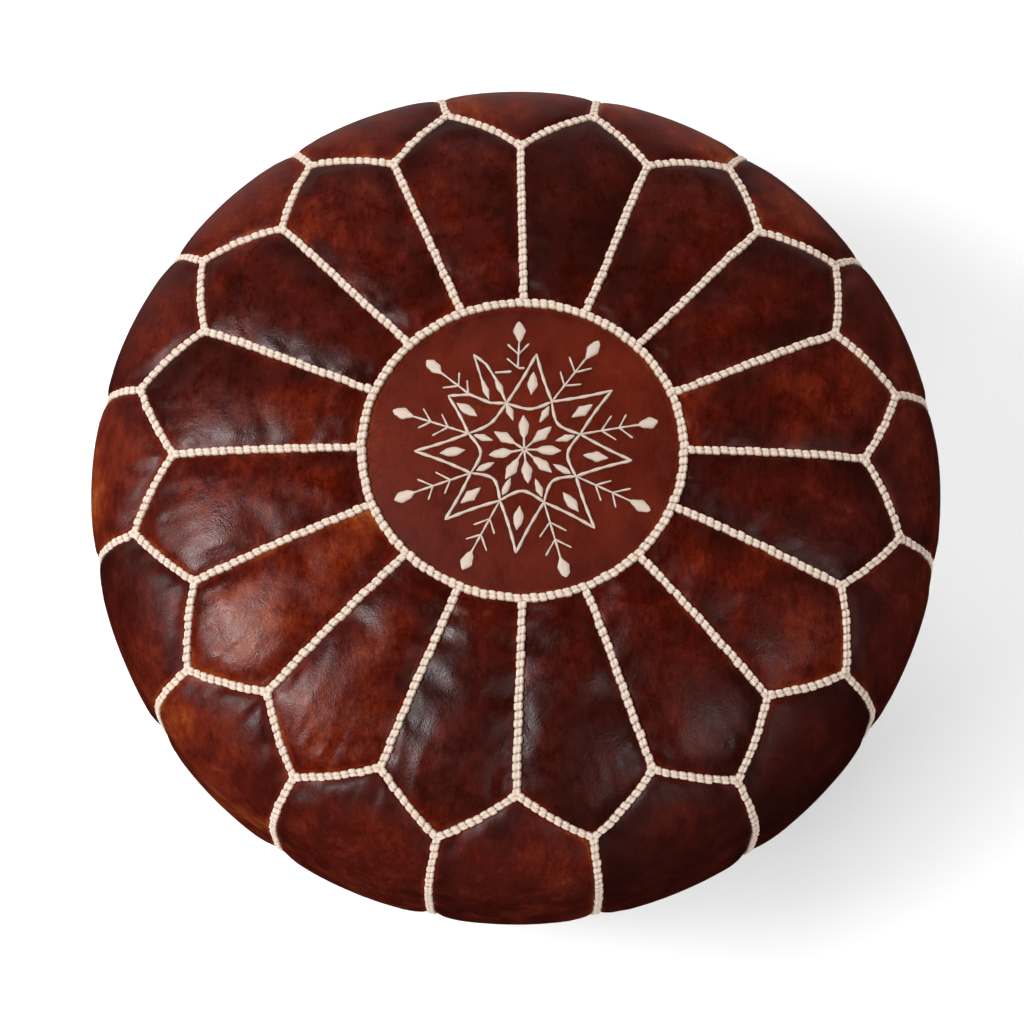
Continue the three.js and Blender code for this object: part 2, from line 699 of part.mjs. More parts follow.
function sliderGeometry() {
  const low = PLATE_FLOOR - PIN_HEIGHT;
  const high = UPPER_PLATE_FLOOR - PIN_HEIGHT;
  const legX = (BAIL_LENGTH - BAIL_WALL) / 2;
  return joined([
    box(SLIDER_LENGTH, SLIDER_WIDTH, low, low + SLIDER_PLATE),
    box(SLIDER_LENGTH, SLIDER_WIDTH, high, high + SLIDER_PLATE),
    box(BRIDGE_LENGTH, BRIDGE_WIDTH, low + BITE, high + BITE, BRIDGE_X),
    box(BAIL_WALL, BAIL_WIDTH, -BAIL_DEPTH, low + BITE, legX),
    box(BAIL_WALL, BAIL_WIDTH, -BAIL_DEPTH, low + BITE, -legX),
    box(BAIL_LENGTH, BAIL_WIDTH, -BAIL_DEPTH, -BAIL_FLOOR),
  ]);
}

// Pull: a chamfered tab with an eye. Its end bar is the pin that turns inside the bail.
function pullGeometry() {
  const half = PULL_WIDTH / 2;
  const [neckStart, neckEnd] = PULL_NECK;
  const [eyeLength, eyeWidth] = PULL_EYE;
  const oneSide = [
    [PULL_END_BAR, half * 0.8], [-neckStart, half * 0.8], [-neckEnd, half],
    [PULL_CHAMFER - PULL_LENGTH, half], [-PULL_LENGTH, half * 0.6],
  ];
  const otherSide = oneSide.map(([x, y]) => [x, -y]).reverse();
  const outline = [...oneSide, ...otherSide].map(([x, y]) => new THREE.Vector2(x, y));
  const tab = extrudedUp(outline, -PULL_THICKNESS / 2, PULL_THICKNESS);
  const eye = new THREE.BoxGeometry(eyeLength, eyeWidth, 2 * PULL_THICKNESS);
  return cut(tab, [eye.translate(-PULL_END_BAR - eyeLength / 2, 0, 0)]);
}

// ---------------------------------------------------------------- assembly

const pouf = new THREE.Group();

const petal = petalGeometry();
const side = sideGeometry();
for (let k = 0; k < PANEL_COUNT; k += 1) {
  const petalPanel = named(numbered('petal_panel', k), petal, materials.petal);
  petalPanel.rotation.z = PANEL_ANGLE * k;
  const sidePanel = named(numbered('side_panel', k), side, materials.side);
  sidePanel.rotation.z = PANEL_ANGLE * k;
  pouf.add(petalPanel, sidePanel);
}

pouf.add(
  named('medallion', medallionGeometry(), materials.medallion),
  named('top_braid', topBraidGeometry(), materials.braid),
  named('side_braid', sideBraidGeometry(), materials.braid),
  named('embroidery_star', starGeometry(), materials.thread),
  named('embroidery_rosette', rosetteGeometry(), materials.thread),
  named('base_piping', basePipingGeometry(), materials.base),
  named('cotton_liner', linerGeometry(), materials.cotton),
  named('filling', fillingGeometry(), materials.cotton),
);

// The front half of the base and of the zip is the back half mirrored in Y.
function mirroredInY(geometry) {
  return toGeometry(toSolid(geometry).mirror([0, 1, 0]));
}

const basePanel = basePanelGeometry();
const tape = tapeGeometry();
const coil = coilGeometry();
pouf.add(
  named('base_panel_back', basePanel, materials.base),
  named('base_panel_front', mirroredInY(basePanel), materials.base),
  named('zip_tape_back', tape, materials.tape),
  named('zip_tape_front', mirroredInY(tape), materials.tape),
  named('zip_coil_back', coil, materials.tape),
  named('zip_coil_front', mirroredInY(coil), materials.tape),
);

const STOP_HEIGHT = COIL_FLOOR + COIL_HEIGHT / 2;
const bottomStop = named('zip_bottom_stop', stopGeometry(2 * COIL_WIDTH), materials.brass);
bottomStop.position.set(COIL_START - ZIP_GAP - STOP_LENGTH / 2, 0, STOP_HEIGHT);
pouf.add(bottomStop);
for (const [name, sign] of [['zip_top_stop_back', 1], ['zip_top_stop_front', -1]]) {
  const stop = named(name, stopGeometry(COIL_WIDTH), materials.brass);
  const y = sign * (COIL_CLOSED_GAP + COIL_SPREAD + COIL_WIDTH / 2);
  stop.position.set(COIL_END + ZIP_GAP + STOP_LENGTH / 2, y, STOP_HEIGHT);
  pouf.add(stop);
}

const runner = new THREE.Group();
runner.position.set(SLIDER_X, 0, PIN_HEIGHT);
runner.add(
  named('zip_slider', sliderGeometry(), materials.brass),
  named('zip_pull', pullGeometry(), materials.brass),
);
pouf.add(runner);

export default pouf;
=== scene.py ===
"""A round Moroccan leather pouf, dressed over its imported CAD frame.

The leather is one cloth simulated under pressure with its seams held still, then parted into its
panels. The cord braid, embroidery, base, zip and lining are built as meshes over the same section.
Metres, +Z up. The origin is the middle of the underside, as in the frame.
"""
import math

import bmesh
import bpy
import numpy as np
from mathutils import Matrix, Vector, noise

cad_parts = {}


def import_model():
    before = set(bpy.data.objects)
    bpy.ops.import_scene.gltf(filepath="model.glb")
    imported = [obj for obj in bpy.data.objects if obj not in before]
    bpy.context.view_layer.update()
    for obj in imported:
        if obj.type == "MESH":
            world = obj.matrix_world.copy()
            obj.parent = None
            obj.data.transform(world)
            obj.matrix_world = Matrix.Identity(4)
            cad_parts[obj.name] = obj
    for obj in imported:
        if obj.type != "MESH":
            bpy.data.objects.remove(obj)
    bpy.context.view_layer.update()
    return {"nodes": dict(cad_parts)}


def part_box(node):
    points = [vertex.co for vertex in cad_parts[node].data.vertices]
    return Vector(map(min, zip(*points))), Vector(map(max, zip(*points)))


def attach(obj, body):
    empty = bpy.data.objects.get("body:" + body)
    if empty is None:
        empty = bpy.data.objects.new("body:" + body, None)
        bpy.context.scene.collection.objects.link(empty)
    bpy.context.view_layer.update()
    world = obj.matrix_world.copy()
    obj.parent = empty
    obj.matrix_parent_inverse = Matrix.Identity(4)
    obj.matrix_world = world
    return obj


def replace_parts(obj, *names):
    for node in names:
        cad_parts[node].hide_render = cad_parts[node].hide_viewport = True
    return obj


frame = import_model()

# ------------------------------------------------------------------ driving dimensions

PANELS = 16
PANEL_ANGLE = 2 * math.pi / PANELS
OUTER_RADIUS = 0.260
SIDE_PUFF = 0.004  # how far the widest line stands outside the upright seams
SEAM_RADIUS = OUTER_RADIUS - SIDE_PUFF
EQUATOR = 0.176  # height of the widest ring
CROWN_RISE = 0.117
CROWN_SQUARENESS = 5
LOWER_ROUNDNESS = (1.55, 1.75)
RING_RADIUS = 0.095
JUNCTION_RADIUS = 0.205  # where a radial seam meets the zig-zag
TIP_RADIUS = 0.231  # where an upright seam meets it
PIPING_RADIUS = 0.0018
SEAM_GAP = 0.0004
BASE_SEAM = 0.152
BASE_EDGE = BASE_SEAM + PIPING_RADIUS + SEAM_GAP
BASE_DISC = BASE_SEAM - PIPING_RADIUS - SEAM_GAP
LEATHER = 0.0016
MEDALLION_PUFF = 0.002
MEDALLION_MARGIN = 0.0037

BRAID_PITCH = 0.0049
BRAID_HALF_WIDTH = 0.0026
BRAID_HEIGHT = 0.0026
BRAID_LIFT = 0.0006

# Cells of the cover's grid across a panel and down a petal and a side, the most that the pressure
# may lift either off the section, their lifts at the start, and limits on every point.
COLUMNS = 16
PETAL_ROWS = 26
SIDE_ROWS = 56
CLOTH_FRAMES = 20
PETAL_CAP = 0.0055
SIDE_CAP = 0.0036
PETAL_START = 0.0030
SIDE_START = 0.0035
SIDEWAYS_CAP = 0.003
LOWEST = 0.0004

# Unevenness of hand work: the crown was pulled a little to the right and front and is narrower
# from front to back, the sides lean left and front, and the zig-zag seam dips in at the back.
CROWN_PULL = (0.0022, -0.0009)
CROWN_DRAW = 0.036
BODY_LEAN = (-0.0013, -0.0009)
BACK_DIP = 0.0055
DIP_ANGLE = math.pi / 2
DIP_WIDTH = 0.42
GATHER_ANGLE = math.radians(238)
GATHER_WIDTH = 0.9
GATHER_LENGTH = 0.030
GATHER_DEPTH = 0.0016

LINER_INSET = 0.009
LINER_THICKNESS = 0.0008
FILLING_INSET = LINER_INSET + LINER_THICKNESS + 0.0006
LINING_GROOVE_GAP = 0.006
FILLING_GROOVE_GAP = 0.008
BASE_SLACK = 0.006
LINER_MOUTH = (0.100, 0.011)

rng = np.random.default_rng(7)

# ------------------------------------------------------------------ section of the cover


def section_table(steps=400):
    """Rows of (radius, height, length from the crown) down the cover's section."""
    rows = []
    for i in range(steps + 1):
        angle = math.pi / 2 * (1 - (1 - i / steps) ** 3)
        rise = CROWN_RISE * max(math.cos(angle), 0) ** (2 / CROWN_SQUARENESS)
        rows.append((SEAM_RADIUS * math.sin(angle), EQUATOR + rise))
    round_radius, round_height = LOWER_ROUNDNESS
    for i in range(1, steps + 1):
        angle = math.pi / 2 * i / steps
        out = max(math.cos(angle), 0) ** (2 / round_radius)
        down = math.sin(angle) ** (2 / round_height)
        rows.append((BASE_EDGE + (SEAM_RADIUS - BASE_EDGE) * out, EQUATOR * (1 - down)))
    rows = np.array(rows)
    run = np.concatenate([[0], np.cumsum(np.hypot(*np.diff(rows, axis=0).T))])
    return rows[:, 0], rows[:, 1], run


RADII, HEIGHTS, RUN = section_table()
TOTAL_RUN = RUN[-1]
UPPER = len(RUN) // 2 + 1


def smoothstep(value, low, high):
    t = np.clip((value - low) / (high - low), 0, 1)
    return t * t * (3 - 2 * t)


def turn_from(angle, centre):
    """Angles measured from a centre, between -pi and pi."""
    return np.mod(angle - centre + math.pi, 2 * math.pi) - math.pi


def unit(vectors):
    return vectors / np.maximum(np.linalg.norm(vectors, axis=-1, keepdims=True), 1e-9)


def lengths_along(points):
    """Distance from the first point to each, along the line through them."""
    return np.concatenate([[0], np.cumsum(np.linalg.norm(np.diff(points, axis=0), axis=1))])


def tangents(points, closed=False):
    if closed:
        return unit(np.roll(points, -1, 0) - np.roll(points, 1, 0))
    return unit(np.gradient(points, axis=0))


def interpolated(stations, stops, rows):
    """The rows that lie at stations, where stops says how far along each of the given rows is."""
    return np.stack([np.interp(stations, stops, column) for column in rows.T], 1)


def run_at_radius(radius):
    return float(np.interp(radius, RADII[:UPPER], RUN[:UPPER]))


RING_RUN = run_at_radius(RING_RADIUS)
JUNCTION_RUN = run_at_radius(JUNCTION_RADIUS)
TIP_RUN = run_at_radius(TIP_RADIUS)


def cover_point(run, angle, lift=0.0):
    """Points on the cover and their outward normals, at runs from the crown and angles."""
    run = np.asarray(run, float)
    step = 0.0015
    before, after = np.clip(run - step, 0, TOTAL_RUN), np.clip(run + step, 0, TOTAL_RUN)
    radius, height = np.interp(run, RUN, RADII), np.interp(run, RUN, HEIGHTS)
    d_radius = np.interp(after, RUN, RADII) - np.interp(before, RUN, RADII)
    d_height = np.interp(after, RUN, HEIGHTS) - np.interp(before, RUN, HEIGHTS)
    size = np.hypot(d_radius, d_height)
    cosine, sine = np.cos(angle), np.sin(angle)
    normal = np.stack(
        [-d_height / size * cosine, -d_height / size * sine, d_radius / size * np.ones_like(cosine)], -1)
    point = np.stack([radius * cosine, radius * sine, height * np.ones_like(cosine)], -1)
    pull = (1 - smoothstep(radius, RING_RADIUS, JUNCTION_RADIUS)) * (run < TIP_RUN)
    point[..., 1] += pull * (CROWN_PULL[1] - CROWN_DRAW * point[..., 1])
    point[..., 0] += pull * CROWN_PULL[0]
    lean = smoothstep(run, JUNCTION_RUN, JUNCTION_RUN + 0.06)
    lean = lean * (1 - smoothstep(run, TOTAL_RUN - 0.12, TOTAL_RUN - 0.01))
    point[..., 0] += lean * BODY_LEAN[0]
    point[..., 1] += lean * BODY_LEAN[1]
    return point + normal * np.asarray(lift)[..., None], normal


def zigzag_run(angle):
    """Run of the zig-zag seam at an angle measured from a junction."""
    turn = np.mod(angle / PANEL_ANGLE, 1)
    outward = 1 - np.abs(2 * turn - 1)
    dip = BACK_DIP * np.exp(-(turn_from(angle, DIP_ANGLE) / DIP_WIDTH) ** 2) * (1 - 0.6 * outward)
    return JUNCTION_RUN + (TIP_RUN - JUNCTION_RUN) * outward - dip


# ------------------------------------------------------------------ mesh helpers


def placed(name, data):
    made = bpy.data.objects.new(name, data)
    bpy.context.scene.collection.objects.link(made)
    return made


def mesh_object(name, points, faces):
    mesh = bpy.data.meshes.new(name)
    mesh.from_pydata([tuple(map(float, p)) for p in points], [], [tuple(map(int, f)) for f in faces])
    mesh.validate()
    made = placed(name, mesh)
    shade_smooth(made)
    return made


def shade_smooth(made):
    made.data.polygons.foreach_set("use_smooth", [True] * len(made.data.polygons))


def grid_faces(rows, columns, wrap=False, start=0):
    spans = columns if wrap else columns - 1
    faces = []
    for j in range(rows - 1):
        for i in range(spans):
            k = (i + 1) % columns
            faces.append((start + j * columns + i, start + (j + 1) * columns + i,
                          start + (j + 1) * columns + k, start + j * columns + k))
    return faces


def applied(made):
    """The object with its modifiers applied."""
    graph = bpy.context.evaluated_depsgraph_get()
    mesh = bpy.data.meshes.new_from_object(made.evaluated_get(graph), depsgraph=graph)
    mesh.name = made.name
    old = made.data
    made.modifiers.clear()
    made.data = mesh
    bpy.data.meshes.remove(old)
    return made


def thickened(made, thickness, upwards=False):
    """The sheet given its thickness: inwards, or upwards whichever way it faces."""
    thick = made.modifiers.new("thick", "SOLIDIFY")
    thick.thickness = thickness
    thick.offset = 1 if upwards and made.data.polygons[0].normal.z > 0 else -1
    return applied(made)


def coordinates(made):
    flat = np.empty(len(made.data.vertices) * 3)
    made.data.vertices.foreach_get("co", flat)
    return flat.reshape(-1, 3)


def set_coordinates(made, points):
    made.data.vertices.foreach_set("co", np.asarray(points, float).ravel())
    made.data.update()


def attributes(made, **values):
    """Stores numbers at the mesh's points for the materials: one for all, or one for each."""
    for name, numbers in values.items():
        numbers = np.broadcast_to(np.ravel(numbers), len(made.data.vertices))
        layer = made.data.attributes.new(name, "FLOAT", "POINT")
        layer.data.foreach_set("value", np.ascontiguousarray(numbers, np.float32))


def attribute_values(made, name):
    values = np.empty(len(made.data.vertices), np.float32)
    made.data.attributes[name].data.foreach_get("value", values)
    return values


def normals_of(made):
    flat = np.empty(len(made.data.vertices) * 3)
    made.data.vertices.foreach_get("normal", flat)
    return flat.reshape(-1, 3)


def dress(made, material):
    made.data.materials.clear()
    made.data.materials.append(material)
    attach(made, "cover")
    return made


# ------------------------------------------------------------------ materials


class Nodes:
    """A short way to write the nodes of a material or a world."""

    def __init__(self, owner):
        owner.use_nodes = True
        self.owner, self.tree = owner, owner.node_tree

    def add(self, kind, **settings):
        node = self.tree.nodes.new(kind)
        for key, value in settings.items():
            setattr(node, key, value)
        return node

    def link(self, source, target):
        self.tree.links.new(source, target)

    def feed(self, socket, value):
        if isinstance(value, bpy.types.NodeSocket):
            self.link(value, socket)
        else:
            socket.default_value = value

    def place(self, kind="Object"):
        return self.add("ShaderNodeTexCoord").outputs[kind]

    def axis(self, vector, letter):
        node = self.add("ShaderNodeSeparateXYZ")
        self.link(vector, node.inputs[0])
        return node.outputs[letter]

    def noise(self, vector, scale, detail=4, rough=0.5, distortion=0.0, w=None):
        node = self.add("ShaderNodeTexNoise", noise_dimensions="3D" if w is None else "4D")
        self.feed(node.inputs["Vector"], vector)
        for key, value in (("Scale", scale), ("Detail", detail), ("Roughness", rough),
                           ("Distortion", distortion)):
            node.inputs[key].default_value = value
        if w is not None:
            self.feed(node.inputs["W"], w)
        return node.outputs["Fac"]

    def voronoi(self, vector, scale, feature="F1"):
        node = self.add("ShaderNodeTexVoronoi", feature=feature)
        self.feed(node.inputs["Vector"], vector)
        node.inputs["Scale"].default_value = scale
        return node.outputs["Distance"]

    def centred(self, value, amount):
        """A value about 0.5 made to swing about zero by an amount."""
        return self.math("MULTIPLY", self.math("SUBTRACT", value, 0.5), amount)

    def math(self, operation, a, b=0.0, clamp=False):
        node = self.add("ShaderNodeMath", operation=operation, use_clamp=clamp)
        self.feed(node.inputs[0], a)
        self.feed(node.inputs[1], b)
        return node.outputs[0]

    def remap(self, value, low, high, to_low=0.0, to_high=1.0, kind="SMOOTHSTEP"):
        node = self.add("ShaderNodeMapRange", interpolation_type=kind)
        self.feed(node.inputs["Value"], value)
        for key, number in (("From Min", low), ("From Max", high), ("To Min", to_low),
                            ("To Max", to_high)):
            node.inputs[key].default_value = number
        return node.outputs["Result"]

    def ramp(self, value, stops):
        node = self.add("ShaderNodeValToRGB")
        elements = node.color_ramp.elements
        while len(elements) < len(stops):
            elements.new(0.5)
        for element, (position, colour) in zip(elements, stops):
            element.position = position
            element.color = (*colour, 1)
        self.feed(node.inputs["Fac"], value)
        return node.outputs["Color"]

    def mix(self, share, a, b):
        node = self.add("ShaderNodeMix", data_type="RGBA")
        self.feed(node.inputs["Factor"], share)
        for socket, value in ((node.inputs[6], a), (node.inputs[7], b)):
            self.feed(socket, value if isinstance(value, bpy.types.NodeSocket) else (*value, 1))
        return node.outputs[2]

    def per_point(self, name):
        return self.add("ShaderNodeAttribute", attribute_name=name).outputs["Fac"]

    def stretched(self, vector, scales, turn):
        """The vector turned about Z and scaled, so that a texture on it runs in one direction."""
        node = self.add("ShaderNodeMapping")
        self.link(vector, node.inputs["Vector"])
        node.inputs["Rotation"].default_value = (0, 0, turn)
        node.inputs["Scale"].default_value = scales
        return node.outputs["Vector"]

    def warp(self, vector, amount, scale):
        """The vector moved about by noise."""
        node = self.add("ShaderNodeTexNoise", noise_dimensions="3D")
        self.feed(node.inputs["Vector"], vector)
        node.inputs["Scale"].default_value = scale
        moved = self.add("ShaderNodeVectorMath", operation="MULTIPLY_ADD")
        self.link(node.outputs["Color"], moved.inputs[0])
        moved.inputs[1].default_value = (amount,) * 3
        self.feed(moved.inputs[2], vector)
        return moved.outputs[0]

    def bump(self, height, strength, distance, below=None):
        node = self.add("ShaderNodeBump")
        node.inputs["Strength"].default_value = strength
        node.inputs["Distance"].default_value = distance
        self.feed(node.inputs["Height"], height)
        if below is not None:
            self.link(below, node.inputs["Normal"])
        return node.outputs["Normal"]

    def finish(self, colour, roughness, normal=None, **sockets):
        shader = self.tree.nodes["Principled BSDF"]
        self.feed(shader.inputs["Base Color"], colour)
        self.feed(shader.inputs["Roughness"], roughness)
        if normal is not None:
            self.link(normal, shader.inputs["Normal"])
        for key, value in sockets.items():
            self.feed(shader.inputs[key.replace("_", " ")], value)
        return self.owner


def material_nodes(name):
    return Nodes(bpy.data.materials.new(name))


LEATHER_STOPS = [
    (0.00, (0.016, 0.0019, 0.0010)),
    (0.25, (0.025, 0.0021, 0.0008)),
    (0.48, (0.050, 0.0032, 0.0008)),
    (0.68, (0.098, 0.0082, 0.0009)),
    (0.85, (0.160, 0.0225, 0.0014)),
    (1.00, (0.240, 0.0500, 0.0040)),
]


# How strongly the large clouds, the brush strokes, the middle clouds, the flecks and the pores show.
LEATHER_LAYERS = (1.32, 0.72, 0.70, 0.62, 0.26)


def leather_material(name, clouds, level, gloss, burn=0.16):
    """Hand-dyed leather: dark clouds over red-brown with cognac patches, a painted highlight in a thin
    line beside the stitching, a fine grain.
    clouds is the strength of its patches, level its brightness, gloss its roughness and burn how
    dark it goes at the seams."""
    n = material_nodes(name)
    place = n.place()
    tone, panel, seam = n.per_point("tone"), n.per_point("panel"), n.per_point("seam")
    warped = n.warp(place, 0.022, 15)
    large = n.noise(warped, 14, 3, 0.55, 0.3, panel)
    brushed = n.noise(n.stretched(warped, (58, 34, 40), 0.35), 1, 4, 0.62, 0.5, panel)
    middle = n.noise(warped, 75, 4, 0.62, 0.6, panel)
    flecks = n.noise(n.stretched(place, (420, 170, 260), 0.1), 1, 5, 0.68, 0.3, panel)
    pores = n.noise(place, 950, 3, 0.6)
    dye = n.math("ADD", tone, 0.46 + level)
    for layer, amount in zip((large, brushed, middle, flecks, pores), LEATHER_LAYERS):
        dye = n.math("ADD", dye, n.centred(layer, amount * clouds))
    # Darker towards the seams in patches, and a painted highlight: a thin bright line beside the
    # stitching, where the leather rises from the seam and catches the light.
    burnt = n.math("MULTIPLY", n.remap(seam, 0.022, 0.006), n.remap(large, 0.60, 0.44, 0.25, 1.0))
    dye = n.math("SUBTRACT", dye, n.math("MULTIPLY", burnt, burn))
    # Painted highlight: the dye is made brighter close to the seam, from 5.4 mm in, as if light caught
    # the leather's rise there.
    dye = n.math("ADD", dye, n.remap(seam, 0.0054, 0.0036, 0.0, 0.16))
    colour = n.ramp(dye, LEATHER_STOPS)
    # A net of fine creases where the hide was folded.
    creased = n.warp(n.stretched(place, (1.0, 1.25, 1.0), 0.6), 0.005, 60)
    cells = n.voronoi(creased, 190, "DISTANCE_TO_EDGE")
    crease = n.math("MULTIPLY", n.remap(cells, 0.12, 0.0), n.remap(large, 0.48, 0.60))
    crease = n.math("MULTIPLY", crease, n.remap(middle, 0.38, 0.55))
    colour = n.mix(n.math("MULTIPLY", crease, 0.42), colour, (0.014, 0.0020, 0.0010))
    grain = n.voronoi(n.warp(place, 0.0012, 700), 820, "F1")
    rough = n.remap(n.math("ADD", middle, n.math("MULTIPLY", flecks, 0.5)), 0.5, 1.0,
                    gloss - 0.06, gloss + 0.14)
    normal = n.bump(grain, 0.14, 0.0004)
    normal = n.bump(crease, -0.8, 0.0006, normal)
    normal = n.bump(n.noise(place, 150, 4, 0.6, 0.5), 0.20, 0.0011, normal)
    return n.finish(colour, rough, normal, Specular_IOR_Level=0.11)


def cord_material(name, light, dark):
    """Twisted cotton cord: pale crowns, painted shade that turns it greyer and browner where it lies low
    between the knots, fine fibres.
    """
    n = material_nodes(name)
    place = n.place()
    depth = n.per_point("depth")
    fibres = n.noise(n.warp(place, 0.0006, 900), 1500, 3, 0.7)
    blot = n.noise(place, 120, 3, 0.6)
    strands = n.noise(n.warp(place, 0.0008, 500), 620, 2, 0.5)
    # Painted shade: the cord goes from cream to grey-brown where its depth says it lies low.
    raised = n.remap(depth, 0.08, 0.85, 0.0, 0.84)
    share = n.math("ADD", raised, n.centred(fibres, 0.5))
    share = n.math("ADD", share, n.centred(strands, 0.9), clamp=True)
    colour = n.mix(share, dark, light)
    colour = n.mix(n.remap(blot, 0.45, 0.75, 0.0, 0.28), colour, [0.86 * c for c in light])
    normal = n.bump(strands, 0.6, 0.0007, n.bump(fibres, 0.45, 0.0005))
    return n.finish(colour, 0.75, normal, Specular_IOR_Level=0.2)


def satin_material(name):
    """Satin stitch: close threads side by side with a soft lustre, and painted shade where they lie low,
    at their edges and between the ridges.
    """
    n = material_nodes(name)
    place = n.place()
    depth = n.per_point("depth")
    twist = n.noise(place, 1300, 3, 0.6)
    # Painted shade: the thread darkens where its depth says it lies low.
    share = n.math("ADD", n.math("MULTIPLY", depth, 0.8), n.math("MULTIPLY", twist, 0.3), clamp=True)
    colour = n.mix(share, (0.27, 0.20, 0.155), (0.55, 0.44, 0.365))
    return n.finish(colour, 0.52, n.bump(twist, 0.35, 0.0003), Sheen_Weight=0.1)


def woven_material(name, warp_colour, weft_colour, pitch, rough=0.85):
    """A plain weave with threads at a pitch, along X and Y."""
    n = material_nodes(name)
    place = n.place()
    count = 2 * math.pi / pitch
    waves = [n.math("SINE", n.math("MULTIPLY", n.axis(place, letter), count)) for letter in "XY"]
    over = n.math("MULTIPLY", *waves)
    height = n.remap(over, -1.0, 1.0)
    fuzz = n.noise(place, 1800, 3, 0.6)
    colour = n.mix(height, warp_colour, weft_colour)
    colour = n.mix(n.remap(fuzz, 0.4, 0.7, 0.0, 0.25), colour, [0.7 * c for c in warp_colour])
    return n.finish(colour, rough, n.bump(height, 0.5, pitch * 0.3), Sheen_Weight=0.2)


def brass_material(name):
    """Brass that has dulled in patches and been rubbed bright by handling."""
    n = material_nodes(name)
    place = n.place()
    stain = n.noise(n.warp(place, 0.003, 200), 260, 5, 0.65)
    scratch = n.noise(n.warp(place, 0.0006, 300), 2100, 2, 0.8)
    colour = n.mix(n.remap(stain, 0.42, 0.68), (0.62, 0.43, 0.16), (0.22, 0.13, 0.05))
    rough = n.remap(n.math("ADD", stain, n.math("MULTIPLY", scratch, 0.3)), 0.5, 0.95, 0.24, 0.55)
    return n.finish(colour, rough, n.bump(scratch, 0.12, 0.0002), Metallic=1.0)


def nylon_material(name):
    n = material_nodes(name)
    place = n.place()
    cloudy = n.noise(place, 700, 3, 0.6)
    colour = n.mix(cloudy, (0.035, 0.018, 0.011), (0.075, 0.040, 0.024))
    rough = n.remap(cloudy, 0.3, 0.7, 0.28, 0.45)
    return n.finish(colour, rough, n.bump(cloudy, 0.2, 0.0002))


WADDING_STOPS = [(0.3, (0.58, 0.53, 0.44)), (0.55, (0.76, 0.72, 0.63)), (0.75, (0.86, 0.83, 0.76))]


def wadding_material(name):
    n = material_nodes(name)
    place = n.place()
    tufts = n.noise(n.warp(place, 0.01, 60), 95, 6, 0.7, 0.8)
    fibres = n.noise(n.warp(place, 0.004, 150), 900, 4, 0.75, 1.0)
    share = n.math("ADD", n.math("MULTIPLY", tufts, 0.7), n.math("MULTIPLY", fibres, 0.3))
    colour = n.ramp(share, WADDING_STOPS)
    return n.finish(colour, 0.95, n.bump(share, 0.7, 0.002), Sheen_Weight=0.4)


PETAL_LEATHER = leather_material("petal_leather", 0.90, 0.040, 0.28)
SIDE_LEATHER = leather_material("side_leather", 0.80, 0.064, 0.38)
MEDALLION_LEATHER = leather_material("medallion_leather", 0.32, 0.160, 0.46, 0.06)
BASE_LEATHER = leather_material("base_leather", 0.6, -0.02, 0.5)
CORD = cord_material("braid_cord", (0.68, 0.545, 0.450), (0.22, 0.150, 0.106))
THREAD = satin_material("embroidery_thread")
TAPE = woven_material("zip_tape", (0.045, 0.022, 0.013), (0.10, 0.055, 0.034), 0.0009)
NYLON = nylon_material("zip_nylon")
BRASS = brass_material("zip_brass")
COTTON = woven_material("liner_cotton", (0.62, 0.58, 0.50), (0.80, 0.77, 0.70), 0.0014, 0.9)
WADDING = wadding_material("wadding")

# ------------------------------------------------------------------ leather cover

# How dark or bright each panel's hide was dyed, going round from +X.
PETAL_TONES = [0.02, -0.12, -0.18, -0.23, -0.09, 0.00, -0.13, -0.06,
               0.10, 0.20, 0.00, -0.18, -0.19, -0.18, 0.06, -0.25]
SIDE_TONES = [-0.14, -0.08, 0.04, 0.13, 0.06, 0.04, 0.00, -0.12,
              0.21, -0.02, 0.17, -0.03, -0.05, -0.18, -0.34, -0.15]


# The hide as a stiff, heavily damped cloth under a light pressure from the wadding.
CLOTH = dict(
    quality=6, mass=0.35, tension_stiffness=40, compression_stiffness=40, shear_stiffness=25,
    bending_stiffness=4, tension_damping=12, compression_damping=12, shear_damping=12,
    bending_damping=1.0, air_damping=4, use_pressure=True, uniform_pressure_force=3,
    shrink_min=-0.010, vertex_group_mass="seams")


def eased_columns():
    """Column angles over the whole turn, a little closer together at the seams."""
    half = COLUMNS // 2
    share = np.arange(half) / half
    share = share - 0.32 * np.sin(2 * math.pi * share) / (2 * math.pi)
    return np.concatenate([(k + share) * PANEL_ANGLE / 2 for k in range(2 * PANELS)])


def crowded(count, strength):
    """Row shares from 0 to 1, closer together at both ends."""
    share = np.arange(count + 1) / count
    return share - strength * np.sin(2 * math.pi * share) / (2 * math.pi)


def cover_grid():
    """Runs, angles and first lifts of the cover's grid, rows from the ring seam to the base."""
    angle = eased_columns()
    seam = zigzag_run(angle)
    petal = RING_RUN + crowded(PETAL_ROWS, 0.30)[:, None] * (seam - RING_RUN)
    side_share = crowded(SIDE_ROWS, 0.18)[1:, None]
    side = seam + side_share * (TOTAL_RUN - seam)
    runs = np.vstack([petal, side])
    angles = np.broadcast_to(angle, runs.shape)
    across_petal = np.abs(np.sin(np.pi * angles / PANEL_ANGLE))
    across_side = np.abs(np.cos(np.pi * angles / PANEL_ANGLE))
    rows = np.arange(len(runs))[:, None]
    along_petal = np.sin(np.pi * np.clip(rows / PETAL_ROWS, 0, 1))
    along_side = np.sin(np.pi * np.clip((rows - PETAL_ROWS) / SIDE_ROWS, 0, 1) ** 0.7)
    petal_lift = PETAL_START * across_petal ** 0.6 * along_petal ** 0.6
    side_lift = SIDE_START * across_side ** 0.6 * np.maximum(along_side, 0) ** 0.6
    return runs, angles, np.where(rows <= PETAL_ROWS, petal_lift, side_lift)


